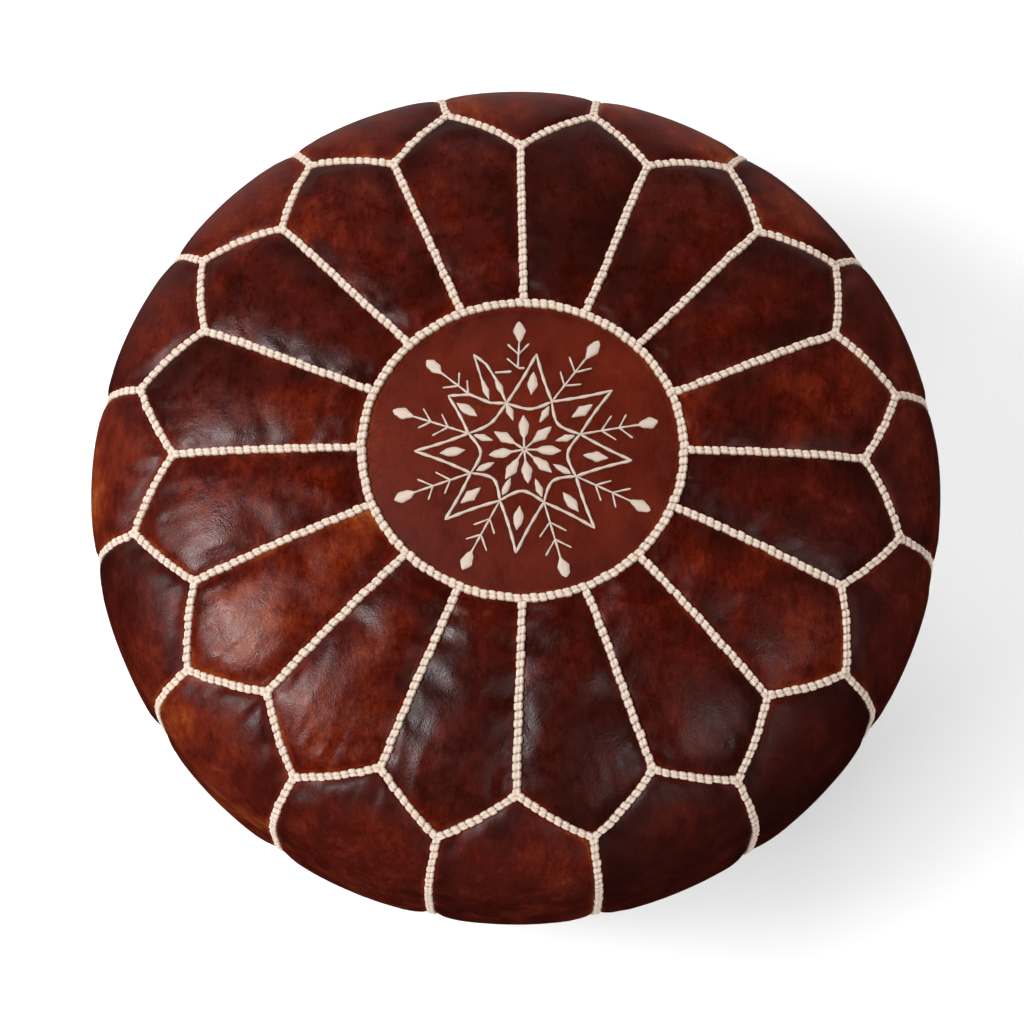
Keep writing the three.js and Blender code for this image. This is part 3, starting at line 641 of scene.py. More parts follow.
def simulated_cover(runs, angles, lifts):
    """The whole cover as one cloth, blown up between its seams. Returns its points as a grid."""
    rows, columns = runs.shape
    points, _ = cover_point(runs, angles, lifts)
    cover = mesh_object("cover_cloth", points.reshape(-1, 3), grid_faces(rows, columns, wrap=True))
    row, column = np.divmod(np.arange(rows * columns), columns)
    held = (row == 0) | (row == PETAL_ROWS) | (row == rows - 1)
    held |= (row < PETAL_ROWS) & (column % COLUMNS == 0)
    held |= (row > PETAL_ROWS) & (column % COLUMNS == COLUMNS // 2)
    group = cover.vertex_groups.new(name="seams")
    group.add([int(i) for i in np.flatnonzero(held)], 1.0, "ADD")
    cloth = cover.modifiers.new("cloth", "CLOTH")
    for key, value in CLOTH.items():
        setattr(cloth.settings, key, value)
    cloth.settings.effector_weights.gravity = 0
    cloth.collision_settings.use_collision = False
    scene = bpy.context.scene
    scene.frame_start, scene.frame_end = 1, CLOTH_FRAMES
    cloth.point_cache.frame_start, cloth.point_cache.frame_end = 1, CLOTH_FRAMES
    for number in range(1, CLOTH_FRAMES + 1):
        scene.frame_set(number)
    applied(cover)
    scene.frame_set(1)
    after = coordinates(cover)
    bpy.data.objects.remove(cover)
    base, normal = cover_point(runs, angles)
    base, normal = base.reshape(-1, 3), normal.reshape(-1, 3)
    lift = ((after - base) * normal).sum(1)
    sideways = after - base - lift[:, None] * normal
    # The wadding fills the side panels up close to their seams, most of all at the left and front.
    is_petal = np.arange(rows)[:, None] < PETAL_ROWS
    bulge = np.maximum(-np.cos(angles), 0) + 0.5 * np.maximum(-np.sin(angles), 0)
    cap = np.where(is_petal, PETAL_CAP, SIDE_CAP * (1 + 0.25 * bulge)).ravel()
    gain = np.where(is_petal, 1.25, 2.1 * np.ones_like(bulge)).ravel()
    capped = cap * np.tanh(gain * np.maximum(lift, 0) / cap) + np.clip(lift, -0.001, 0)
    reach = np.linalg.norm(sideways, axis=1, keepdims=True)
    sideways *= np.minimum(1, SIDEWAYS_CAP / np.maximum(reach, 1e-9))
    after = base + sideways + capped[:, None] * normal
    after[:, 2] = np.maximum(after[:, 2], LOWEST)
    return after.reshape(rows, columns, 3)


def seam_distance(runs, angles, is_side):
    """Distance along the leather to the nearest seam of the panel."""
    radius = np.interp(runs, RUN, RADII)
    turn = np.mod(angles / PANEL_ANGLE + (0.5 if is_side else 0.0), 1)
    across = radius * PANEL_ANGLE * np.minimum(turn, 1 - turn)
    seam = zigzag_run(angles)
    slant = (TIP_RUN - JUNCTION_RUN) / (radius * PANEL_ANGLE / 2)
    off_zigzag = np.abs(runs - seam) / np.sqrt(1 + slant ** 2)
    ends = [off_zigzag, TOTAL_RUN - runs if is_side else runs - RING_RUN]
    return np.minimum.reduce([across, *ends])


def leather_panel(name, points, runs, angles, is_side, tone, panel):
    """One sewn panel cut from the simulated cover, thickened inwards and puckered at its seams."""
    rows, columns = runs.shape
    seam = seam_distance(runs, angles, is_side)
    made = mesh_object(name, points.reshape(-1, 3), grid_faces(rows, columns))
    attributes(made, seam=seam, zigzag=np.abs(runs - zigzag_run(angles)))
    smooth = made.modifiers.new("smooth", "SUBSURF")
    smooth.levels = smooth.render_levels = 1
    smooth.boundary_smooth = "PRESERVE_CORNERS"
    applied(made)
    distance, from_zigzag = attribute_values(made, "seam"), attribute_values(made, "zigzag")
    place, normal = coordinates(made), normals_of(made)
    # Gathers that run in from the zig-zag seam, deepest at the front left.
    turn = np.arctan2(place[:, 1], place[:, 0])
    inward = place[:, 2] if is_side else np.hypot(place[:, 0], place[:, 1])
    gather = np.array([noise.fractal(Vector((24 * a, 20 * b, panel)), 0.8, 2.0, 2)
                       for a, b in zip(turn, inward)])
    gather *= 0.25 + 0.75 * np.exp(-(turn_from(turn, GATHER_ANGLE) / GATHER_WIDTH) ** 2)
    gather *= np.exp(-(from_zigzag / GATHER_LENGTH) ** 2)
    # Soft creases that run in from the seams, and a slow unevenness of the wadding below.
    crease = np.array([noise.fractal(Vector(p) * 55 + Vector((panel, 0, 0)), 0.9, 2.1, 3)
                       for p in place])
    lumps = np.array([noise.noise(Vector(p) * 19 + Vector((0, panel, 0))) for p in place])
    near = np.exp(-((distance - 0.011) / 0.010) ** 2)
    free = np.clip(distance / 0.006, 0, 1)
    shift = free * (0.0005 * near * crease + 0.0003 * lumps * np.clip(distance / 0.02, 0, 1)
                    + GATHER_DEPTH * gather)
    set_coordinates(made, place + normal * shift[:, None])
    attributes(made, tone=tone, panel=panel * 3.7)
    shade_smooth(thickened(made, LEATHER))
    return made


def leather_cover():
    runs, angles, lifts = cover_grid()
    points = simulated_cover(runs, angles, lifts)
    columns = runs.shape[1]
    for kind, rows, first, tones, material, serial in (
            ("petal", slice(0, PETAL_ROWS + 1), 0, PETAL_TONES, PETAL_LEATHER, 1),
            ("side", slice(PETAL_ROWS, None), -COLUMNS // 2, SIDE_TONES, SIDE_LEATHER, 41)):
        for k in range(PANELS):
            pick = (np.arange(COLUMNS + 1) + first + k * COLUMNS) % columns
            name = f"{kind}_panel_{k + 1:02d}"
            panel = leather_panel(f"{name}_leather", points[rows, pick], runs[rows, pick],
                                  angles[rows, pick], kind == "side", tones[k], k + serial)
            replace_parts(dress(panel, material), name)


def medallion_lift(run):
    """How far the medallion rises over the section: nothing from the ring braid outwards."""
    return MEDALLION_PUFF * (1 - np.clip(run / (RING_RUN - MEDALLION_MARGIN), 0, 1) ** 2)


def medallion():
    rows, columns = 44, 192
    share = np.arange(1, rows + 1) / rows
    run = (RING_RUN - SEAM_GAP) * (share + 0.12 * np.sin(np.pi * share) * share)[:, None]
    run = np.minimum(run, RING_RUN - SEAM_GAP)
    angle = np.arange(columns) * 2 * math.pi / columns
    angles = np.broadcast_to(angle, (rows, columns))
    points, _ = cover_point(np.broadcast_to(run, (rows, columns)), angles,
                            np.broadcast_to(medallion_lift(run), (rows, columns)))
    flat = points.reshape(-1, 3)
    crown = cover_point(np.array([0.0005]), np.array([0.0]), medallion_lift(np.array([0.0])))[0][0]
    flat = np.vstack([flat, [*CROWN_PULL, crown[2]]])
    distance = np.append(np.repeat(RING_RUN - run[:, 0], columns), RING_RUN)
    wave = np.array([noise.noise(Vector(p) * 24) + 0.4 * noise.noise(Vector(p) * 70) for p in flat])
    flat[:, 2] += 0.00025 * wave * np.clip(distance / 0.01, 0, 1)
    tip = len(flat) - 1
    faces = grid_faces(rows, columns, wrap=True)
    faces += [(tip, i, (i + 1) % columns) for i in range(columns)]
    made = mesh_object("medallion_leather", flat, faces)
    attributes(made, seam=distance, tone=0.0, panel=2.3)
    thickened(made, LEATHER)
    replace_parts(dress(made, MEDALLION_LEATHER), "medallion")


# ------------------------------------------------------------------ braids

# Across the cord: from one foot, over two lobes with a groove between them, to the other foot.
KNOT_ACROSS = np.linspace(-1, 1, 11)
KNOT_STEPS = 10


def knot_row(places, normals, tangents, phase, sizes, leans, rise):
    """Points of the braid's surface at stations along it, and how raised each one is."""
    across = np.cross(normals, tangents)
    rim = np.abs(KNOT_ACROSS)
    dome = (1 - rim ** 3.2) ** (1 / 2.4)
    groove = 1 - 0.20 * np.exp(-(KNOT_ACROSS / 0.26) ** 2)
    skewed = phase[:, None] + 0.10 * np.sign(KNOT_ACROSS) * rim ** 0.7
    cycle = np.abs(2 * np.mod(skewed, 1) - 1)
    bulge = (1 - cycle ** 3) ** 0.6
    width = (0.76 + 0.26 * bulge) * sizes[:, None]
    height = rise * (0.38 + 0.62 * bulge) * dome * groove * sizes[:, None]
    sideways = BRAID_HALF_WIDTH * width * KNOT_ACROSS + leans[:, None]
    up = BRAID_LIFT + BRAID_HEIGHT * height
    points = places[:, None] + across[:, None] * sideways[..., None] + normals[:, None] * up[..., None]
    # How raised each point is: the cord's material paints shade where this is low.
    depth = np.clip(bulge * (0.35 + 0.65 * dome) * groove ** 2, 0, 1)
    return points, depth


def resampled(points, normals, spacing):
    run = lengths_along(points)
    knots = max(1, round(run[-1] / spacing))
    stations = np.linspace(0, run[-1], knots * KNOT_STEPS + 1)
    normal = unit(interpolated(stations, run, normals))
    return interpolated(stations, run, points), normal, knots


def braid_strip(points, normals, closed=False, scale=1.0, rise=1.0):
    """Vertices, faces and depths of one braid laced along a seam. scale is its size, and rise its
    height, as shares of the usual ones."""
    place, normal, knots = resampled(points, normals, BRAID_PITCH)
    if closed:
        place, normal = place[:-1], normal[:-1]
    tangent = tangents(place, closed)
    count = len(place)
    phase = np.arange(count) / KNOT_STEPS
    knot = np.minimum(np.floor(phase).astype(int), knots - 1)
    sizes = scale * (1 + rng.uniform(-0.09, 0.09, knots)[knot])
    leans = rng.uniform(-0.00032, 0.00032, knots)[knot]
    top, depth = knot_row(place, normal, tangent, phase, sizes, leans, rise)
    columns = len(KNOT_ACROSS)
    faces = []
    foot = count * columns
    side = np.cross(normal, tangent) * BRAID_HALF_WIDTH * 0.55 * scale
    under = [place + side + normal * 0.0002, place - side + normal * 0.0002]
    for j in range(count if closed else count - 1):
        k = (j + 1) % count
        for i in range(columns - 1):
            a, b = j * columns + i, k * columns + i
            faces.append((a, a + 1, b + 1, b))
        left, right = foot + count + j, foot + j
        next_left, next_right = foot + count + k, foot + k
        faces.append((j * columns, k * columns, next_left, left))
        faces.append((left, next_left, next_right, right))
        faces.append((right, next_right, k * columns + columns - 1, j * columns + columns - 1))
    if not closed:
        last = count - 1
        rim = list(range(columns))
        faces.append(tuple([foot + count, foot] + rim[::-1]))
        faces.append(tuple([last * columns + i for i in rim] + [foot + last, foot + count + last]))
    vertices = np.vstack([top.reshape(-1, 3), *under])
    return vertices, faces, np.concatenate([depth.ravel(), np.zeros(2 * count)])


def braid_piece(name, strips):
    vertices, faces, depths, start = [], [], [], 0
    for points, polygons, depth in strips:
        vertices.append(points)
        depths.append(depth)
        faces += [tuple(start + i for i in polygon) for polygon in polygons]
        start += len(points)
    made = mesh_object(name, np.vstack(vertices), faces)
    attributes(made, depth=np.concatenate(depths))
    edit = bmesh.new()
    edit.from_mesh(made.data)
    bmesh.ops.recalc_face_normals(edit, faces=edit.faces)
    edit.to_mesh(made.data)
    edit.free()
    shade_smooth(made)
    return dress(made, CORD)


def braids():
    around = np.linspace(0, 2 * math.pi, 721)
    ring = braid_strip(*cover_point(np.full(721, RING_RUN), around), closed=True, scale=1.06)
    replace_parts(braid_piece("ring_braid", [ring]), "top_braid")
    spokes = []
    for k in range(PANELS):
        end = float(zigzag_run(k * PANEL_ANGLE))
        run = np.linspace(RING_RUN + 0.0018, end + 0.0008, 120)
        spokes.append(braid_strip(*cover_point(run, np.full(120, k * PANEL_ANGLE))))
    braid_piece("radial_braids", spokes)
    zigzag = []
    for k in range(2 * PANELS):
        angle = np.linspace(k, k + 1, 60) * PANEL_ANGLE / 2
        zigzag.append(braid_strip(*cover_point(zigzag_run(angle), angle)))
    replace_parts(braid_piece("zigzag_braid", zigzag), "side_braid")
    uprights = []
    for k in range(PANELS):
        run = np.linspace(TIP_RUN - 0.0008, TOTAL_RUN - 0.0015, 260)
        points, normals = cover_point(run, np.full(260, (k + 0.5) * PANEL_ANGLE))
        keep = points[:, 2] > 0.004
        uprights.append(braid_strip(points[keep], normals[keep], rise=0.72))
    braid_piece("upright_braids", uprights)


# ------------------------------------------------------------------ embroidery

# The star's arms as sewn: the angle of the crossing before each, the angle of its tip and its reach.
STAR_ARMS = [(17, 36.5, 0.655), (62, 83.5, 0.625), (110, 143, 0.575), (163, 180.5, 0.658),
             (205, 223, 0.642), (246, 266, 0.645), (290, 311, 0.642), (332, 355, 0.646)]
CROSSING = 0.35
UNEVEN_CROSSING = 110
INNER = 0.26
# Sprigs that grow out of a crossing, by its angle and the leaf's, and two that start further out.
SPRIGS = [(17, 14), (62, 58), (163, 162), (205, 202), (246, 244), (290, 288), (332, 334)]
ROSETTE_ANGLES = [0, 44, 92, 145, 191, 238, 276, 318]
THREAD_LIFT = 0.0002
STAR_CENTRE = (0.0010, -0.0024)
STAR_STRETCH = (1.035, 1.065)


def polar(radius, degrees):
    """A place on the medallion: radius as a share of the ring's."""
    angle = math.radians(degrees)
    return np.array([radius * RING_RADIUS * math.cos(angle), radius * RING_RADIUS * math.sin(angle)])


def crossing_at(degrees):
    """Where two arms cross. One crossing was sewn nearer the middle than the rest."""
    return polar(0.315 if degrees % 360 == UNEVEN_CROSSING else CROSSING, degrees)


def on_medallion(places, lift=0.0):
    places = places * STAR_STRETCH + STAR_CENTRE
    radius = np.hypot(places[:, 0], places[:, 1])
    angle = np.arctan2(places[:, 1], places[:, 0])
    return cover_point(radius, angle, medallion_lift(radius) + THREAD_LIFT + lift)


class Stitching:
    """Collects the embroidery's lines and leaves into one mesh."""

    def __init__(self):
        self.points, self.faces, self.depths, self.count = [], [], [], 0

    def strip(self, middle, half_width, thick, pitch, slant):
        """Threads laid side by side across a line. half_width is an array along the middle."""
        along = tangents(middle)
        across = np.stack([-along[:, 1], along[:, 0]], 1)
        run = lengths_along(middle)
        share = np.linspace(-1, 1, 9)
        places = middle[:, None] + across[:, None] * (half_width[:, None] * share)[..., None]
        phase = run[:, None] / pitch + slant * share
        ridge = np.abs(np.sin(np.pi * phase))
        dome = np.sqrt(np.maximum(1 - np.abs(share) ** 2.4, 0))
        fullness = np.minimum(1, half_width / (0.5 * thick + 1e-6))[:, None]
        lift = thick * dome * (0.76 + 0.24 * ridge) * fullness
        flat = places.reshape(-1, 2)
        top, _ = on_medallion(flat, lift.ravel())
        foot, _ = on_medallion(flat, np.full(len(flat), -0.0003))
        rows, columns = phase.shape
        start, under = self.count, self.count + rows * columns
        self.points += [top, foot]
        # How raised each thread is, zero on the under side: the thread's material paints shade where
        # this is low.
        self.depths += [(dome * (0.35 + 0.65 * ridge)).ravel(), np.zeros(rows * columns)]
        self.faces += [tuple(reversed(f)) for f in grid_faces(rows, columns, start=start)]
        self.faces += grid_faces(rows, columns, start=under)
        loop = [i for i in range(columns)]
        loop += [j * columns + columns - 1 for j in range(1, rows)]
        loop += [(rows - 1) * columns + i for i in range(columns - 2, -1, -1)]
        loop += [j * columns for j in range(rows - 2, 0, -1)]
        for a, b in zip(loop, loop[1:] + loop[:1]):
            self.faces.append((start + a, start + b, under + b, under + a))
        self.count += 2 * rows * columns

    def line(self, route, width, wobble=0.0):
        """A stitched line through places, slightly uneven as hand work is."""
        route = np.array(route)
        length = lengths_along(route)[-1]
        steps = max(6, int(length / 0.0005))
        t = np.linspace(0, 1, steps)
        middle = interpolated(t, np.linspace(0, 1, len(route)), route)
        shape = 1 + 0.16 * np.sin(2 * np.pi * (t * length / 0.009 + rng.uniform()))
        half = width / 2 * shape * np.minimum(1, 0.45 + 8 * np.minimum(t, 1 - t))
        bow = wobble * np.sin(np.pi * t)
        ahead = route[-1] - route[0]
        across = unit(np.array([-ahead[1], ahead[0]]))
        self.strip(middle + bow[:, None] * across, half, 0.00075, 0.0011, 0.7)

    def leaf(self, start, end, width, sharp=(1.0, 1.0), round_share=0.5):
        """A satin leaf between two places. sharp narrows its start and end."""
        length = np.linalg.norm(end - start)
        t = np.linspace(0, 1, max(16, int(length / 0.00022)))
        peak = sharp[0] / (sharp[0] + sharp[1])
        rounded = (t / peak) ** sharp[0] * ((1 - t) / (1 - peak)) ** sharp[1]
        pointed = np.minimum(t / peak, (1 - t) / (1 - peak))
        shape = round_share * rounded + (1 - round_share) * pointed
        shape = shape * (1 + 0.09 * np.sin(2 * np.pi * (2.2 * t + rng.uniform())))
        middle = start + t[:, None] * (end - start)
        self.strip(middle, width / 2 * shape + 0.00006, 0.0008, 0.0010, 1.3)

    def made(self, name):
        made = mesh_object(name, np.vstack(self.points), self.faces)
        attributes(made, depth=np.concatenate(self.depths))
        return dress(made, THREAD)


def sprig(work, start, degrees, nodes=((0.33, (1, -1)), (0.61, (1, -1)))):
    """A stem with a leaf at its end and twigs at its nodes: shares of the stem, and the sides."""
    end = polar(0.74, degrees)
    work.line([start, end], 0.0012)
    for share, sides in nodes:
        foot = start + share * (end - start)
        for side in sides:
            turn = math.radians(degrees + side * rng.uniform(40, 52))
            reach = rng.uniform(0.085, 0.115) * RING_RADIUS
            work.line([foot, foot + reach * np.array([math.cos(turn), math.sin(turn)])], 0.0011)
    tip = polar(rng.uniform(0.825, 0.845), degrees)
    work.leaf(polar(0.695, degrees), tip, 0.0066, (1.15, 0.85), 1.0)


def star():
    work = Stitching()
    branch = polar(0.484, 133)
    for k, (crossing, tip, reach) in enumerate(STAR_ARMS):
        following = STAR_ARMS[(k + 1) % len(STAR_ARMS)][0] + (360 if k == len(STAR_ARMS) - 1 else 0)
        for degrees, bow in ((crossing, 0.0006), (following, -0.0006)):
            route = [crossing_at(degrees), polar(reach, tip)]
            if degrees == crossing == UNEVEN_CROSSING:
                route, bow = [route[0], polar(0.362, 124.5), branch, route[1]], 0
            work.line(route, 0.0017, bow)
        turns = np.linspace(crossing, following, 9)
        ends = [np.linalg.norm(crossing_at(d)) / RING_RADIUS for d in (crossing, following)]
        scallop = np.linspace(*ends, 9)
        scallop = scallop - (scallop - INNER) * np.sin(np.linspace(0, math.pi, 9)) ** 0.8
        work.line([polar(r, d) for r, d in zip(scallop, turns)], 0.0017)
        work.leaf(polar(0.352, tip), polar(0.505, tip + rng.uniform(-2, 2)), 0.0062, (0.9, 0.85), 0.35)
        work.leaf(polar(0.195, crossing), polar(0.315, crossing), 0.0040, (0.9, 0.7), 0.6)
    for crossing, degrees in SPRIGS:
        sprig(work, crossing_at(crossing), degrees)
    # Two sprigs start further out: one above an arm's side with two stray stitches, one on an arm.
    sprig(work, polar(0.528, 94.5), 92.5, ((0.02, (1,)), (0.43, (1, -1))))
    work.line([polar(0.528, 94.5), polar(0.527, 90)], 0.0012)
    work.line([polar(0.528, 110), polar(0.510, 99)], 0.0014)
    sprig(work, branch, 135.5, ((0.04, (-1,)), (0.34, (1, -1))))
    # The ninth, narrower arm: each side thickens into a leaf, and one stops short of the crossing.
    tip = polar(0.69, 116.5)
    work.line([crossing_at(110), polar(0.477, 110.8), polar(0.597, 112.7), tip], 0.0015)
    work.leaf(polar(0.345, 110), polar(0.485, 111), 0.0038, (1.2, 0.6))
    work.line([polar(0.385, 123.5), polar(0.535, 119.4), tip], 0.0013)
    work.leaf(polar(0.385, 123.5), polar(0.535, 119.4), 0.0036, (0.8, 1.0))
    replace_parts(work.made("star_stitching"), "embroidery_star")


def rosette():
    work = Stitching()
    for degrees in ROSETTE_ANGLES:
        work.line([polar(0.005, degrees), polar(0.085, degrees)], 0.0013)
        end = polar(rng.uniform(0.210, 0.228), degrees + rng.uniform(-3, 3))
        work.leaf(polar(0.065, degrees), end, 0.0062, (0.85, 0.85))
    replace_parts(work.made("rosette_stitching"), "embroidery_rosette")


# ------------------------------------------------------------------ base

GROOVE_DEPTH = 0.009
GROOVE_FLAT = 0.019
GROOVE_WIDE = 0.046
GROOVE_LENGTH = 0.130
WINDOW_HALF_LENGTH = 0.121
WINDOW_HALF_WIDTH = 0.009


def base_lift(x, y):
    across = 1 - smoothstep(np.abs(y), GROOVE_FLAT, GROOVE_WIDE)
    along = 1 - smoothstep(np.abs(x), GROOVE_LENGTH, BASE_DISC - 0.002)
    return GROOVE_DEPTH * across * along


def half_sheet(name, x, y, z, sign, thickness, **values):
    """A sheet on one side of the zip's line, given its thickness upwards."""
    points = np.stack([np.broadcast_to(x, y.shape), sign * y, z], -1).reshape(-1, 3)
    faces = grid_faces(*y.shape)
    if sign < 0:
        faces = [tuple(reversed(f)) for f in faces]
    made = mesh_object(name, points, faces)
    attributes(made, **values)
    return thickened(made, thickness, upwards=True)


def base_half(name, sign, tone):
    columns, rows = 121, 41
    x = np.linspace(-1, 1, columns) * (BASE_DISC - 0.0012)
    share = np.linspace(0, 1, rows)[:, None]
    arc = np.sqrt(BASE_DISC ** 2 - x ** 2)
    inside = 1 - smoothstep(np.abs(x), WINDOW_HALF_LENGTH, WINDOW_HALF_LENGTH + 0.004)
    start = SEAM_GAP + (WINDOW_HALF_WIDTH - SEAM_GAP) * inside
    y = start + (arc - start) * share ** 1.25
    xs = np.broadcast_to(x, y.shape)
    wave = np.array([noise.noise(Vector((a * 30, b * 30 * sign, 3.0)))
                     for a, b in zip(xs.ravel(), y.ravel())])
    edge = np.minimum(arc - y, y - start)
    z = base_lift(xs, y) + 0.00035 * (1 + wave.reshape(y.shape)) * np.clip(edge / 0.01, 0, 1)
    made = half_sheet(f"{name}_leather", x, y, z, sign, LEATHER, seam=edge, tone=tone, panel=9.0 + sign)
    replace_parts(dress(made, BASE_LEATHER), name)


def tube(name, points, radius, material, closed=False, sides=10):
    """A round cord through points, as a mesh."""
    points = np.asarray(points)
    count = len(points)
    tangent = tangents(points, closed)
    across = unit(np.cross(tangent, (0, 0, 1)))
    over = np.cross(across, tangent)
    turn = np.arange(sides) * 2 * math.pi / sides
    radius = np.broadcast_to(radius, count)
    ring = (np.cos(turn)[None, :, None] * across[:, None] + np.sin(turn)[None, :, None] * over[:, None])
    body_points = (points[:, None] + ring * radius[:, None, None]).reshape(-1, 3)
    faces = []
    for j in range(count if closed else count - 1):
        k = (j + 1) % count
        for i in range(sides):
            m = (i + 1) % sides
            faces.append((j * sides + i, j * sides + m, k * sides + m, k * sides + i))
    if not closed:
        faces.append(tuple(reversed(range(sides))))
        faces.append(tuple((count - 1) * sides + i for i in range(sides)))
    made = mesh_object(name, body_points, faces)
    attributes(made, seam=0.02, tone=-0.06, panel=5.0)
    return dress(made, material)


def base():
    base_half("base_panel_back", 1, -0.02)
    base_half("base_panel_front", -1, -0.05)
    turns = np.linspace(0, 2 * math.pi, 641)[:-1]
    pucker = PIPING_RADIUS * (1 + 0.06 * np.sin(160 * turns))
    ring = np.stack([BASE_SEAM * np.cos(turns), BASE_SEAM * np.sin(turns),
                     np.full(len(turns), PIPING_RADIUS + 0.0002)], 1)
    piping = tube("base_piping_leather", ring, pucker, BASE_LEATHER, closed=True)
    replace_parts(piping, "base_piping")
    for name, sign in (("base_stitches_back", 1), ("base_stitches_front", -1)):
        stitches(name, sign)


def stitches(name, sign):
    """A row of backstitches beside the zip window, sunk a little into the leather."""
    pitch, length, radius = 0.0042, 0.0030, 0.00035
    vertices, faces, count = [], [], 0
    sides, steps = 6, 7
    y = sign * (WINDOW_HALF_WIDTH + 0.0035)
    for k in range(int(2 * WINDOW_HALF_LENGTH / pitch)):
        x = -WINDOW_HALF_LENGTH + (k + 0.5) * pitch
        for j in range(steps):
            t = j / (steps - 1)
            middle = math.sin(math.pi * t)
            height = base_lift(x, y) - 0.00015 - 0.0004 * (middle - 0.5)
            size = radius * (0.35 + 0.65 * middle ** 0.4)
            for i in range(sides):
                turn = 2 * math.pi * i / sides
                vertices.append((x + (t - 0.5) * length, y + size * math.cos(turn),
                                 height + size * math.sin(turn)))
        faces += grid_faces(steps, sides, wrap=True, start=count)
        faces.append(tuple(count + i for i in range(sides)))
        faces.append(tuple(count + (steps - 1) * sides + i for i in reversed(range(sides))))
        count += steps * sides
    made = mesh_object(name, vertices, faces)
    attributes(made, depth=0.8)
    dress(made, THREAD)


# ------------------------------------------------------------------ zip

SLIDER_X = (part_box("zip_slider")[0].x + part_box("zip_slider")[1].x) / 2
SPREAD = 0.0034  # how far each strip stands aside at the open end
HARDWARE = ("zip_slider", "zip_pull", "zip_bottom_stop", "zip_top_stop_back", "zip_top_stop_front")


def parted(x):
    """How far aside the zip's strips stand at places along it: they part at the slider."""
    return SPREAD * smoothstep(x, SLIDER_X - 0.005, SLIDER_X + 0.003)


def zip_tape(node, sign):
    low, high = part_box(node)
    columns, rows = 237, 9
    x = np.linspace(low[0], high[0], columns)
    inner = min(abs(low[1]), abs(high[1]))
    width = abs(high[1] - low[1]) - SPREAD
    y = inner + parted(x) + np.linspace(0, 1, rows)[:, None] * width
    z = np.full(y.shape, low[2]) + 0.00006 * np.sin(x * 900)
    made = half_sheet(f"{node}_woven", x, y, z, sign, high[2] - low[2])
    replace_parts(dress(made, TAPE), node)


def flattened(wave):
    """A wave with flatter crests, for turns pressed out of round."""
    return np.sign(wave) * np.abs(wave) ** 0.6


def zip_coil(node, sign):
    """One side's coil: flattened turns of nylon wire."""
    low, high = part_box(node)
    wire, pitch, steps = 0.00034, 0.0015, 12
    turns = int((high[0] - low[0] - 2 * wire) / pitch)
    width = abs(high[1] - low[1]) - SPREAD - 2 * wire
    height = high[2] - low[2] - 2 * wire
    inner = min(abs(low[1]), abs(high[1])) + wire
    t = np.arange(turns * steps + 1) / steps
    x = low[0] + wire + t * pitch
    y = inner + parted(x) + width * (0.5 + 0.5 * flattened(np.cos(2 * np.pi * t)))
    z = low[2] + wire + height * (0.5 + 0.5 * flattened(np.sin(2 * np.pi * t)))
    points = np.stack([x, sign * y, z], 1)
    coil = tube(f"{node}_turns", points, wire, NYLON, sides=6)
    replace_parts(coil, node)


def zip_hardware():
    """The slider, pull and stops keep their CAD shape, with brass and softened edges."""
    for node in HARDWARE:
        made = frame["nodes"][node]
        made.data.materials.clear()
        made.data.materials.append(BRASS)
        soft = made.modifiers.new("edges", "BEVEL")
        soft.width, soft.segments, soft.limit_method = 0.0002, 2, "ANGLE"


# ------------------------------------------------------------------ lining


def lining_point(angle, run, inset, gap):
    """Points of a soft inner body that follows the cover's section and clears the zip's groove."""
    lowest = inset - BASE_SLACK
    point, _ = cover_point(run, angle, -inset)
    raised = groove_height(point[..., 1], gap)
    point[..., 2] = np.maximum(point[..., 2], np.where(run > TOTAL_RUN - 0.06, raised, lowest))
    point[..., 2] = np.maximum(point[..., 2], lowest)
    return point


def groove_height(y, gap):
    rise = 1 - smoothstep(np.abs(y), GROOVE_FLAT + gap + 0.008, GROOVE_WIDE + gap)
    return (GROOVE_DEPTH + gap) * rise


def lining(name, node, inset, gap, wrinkle, material, mouth=None):
    """A soft inner body in the place of its CAD solid: a wrinkled skin, open at any mouth."""
    columns, rows, base_rows = 144, 62, 22
    angle = np.arange(columns) * 2 * math.pi / columns
    angles = np.broadcast_to(angle, (rows, columns))
    runs = np.linspace(0.004, TOTAL_RUN, rows)[:, None] * np.ones(columns)
    upper = lining_point(angles, runs, inset, gap)
    # The underside narrows from the edge to the mouth's outline, or to a point.
    opening = mouth or (0.001, 0.001)
    inner = np.stack([opening[0] * np.cos(angle), opening[1] * np.sin(angle)], 1)
    edge = upper[-1, :, :2]
    share = np.linspace(0, 1, base_rows + 1)[1:, None, None]
    flat = edge + share * (inner - edge)
    lift = np.maximum(groove_height(flat[..., 1], gap), inset - BASE_SLACK)
    under = np.concatenate([flat, lift[..., None]], -1)
    points = np.concatenate([upper, under]).reshape(-1, 3)
    faces = grid_faces(rows + base_rows, columns, wrap=True)
    points = np.vstack([points, upper[0].mean(0)])
    faces += [(len(points) - 1, i, (i + 1) % columns) for i in range(columns)]
    if not mouth:
        last = (rows + base_rows - 1) * columns
        faces.append(tuple(last + i for i in reversed(range(columns))))
    made = mesh_object(name, points, faces)
    place, normal = coordinates(made), normals_of(made)
    wave = np.array([noise.fractal(Vector(p) * 30, 0.8, 2.1, 3) for p in place])
    ridges = np.array([abs(noise.noise(Vector(p) * 16)) for p in place])
    depth = wrinkle * np.clip(0.3 + wave + ridges, 0, 1)
    set_coordinates(made, place - normal * depth[:, None])
    if mouth:
        thickened(made, LINER_THICKNESS)
    shade_smooth(made)
    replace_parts(dress(made, material), node)
    return made


# ------------------------------------------------------------------ stage, light and camera

FLOOR_SIZE = 120
BEHIND = (-0.17, 0.98, 0)
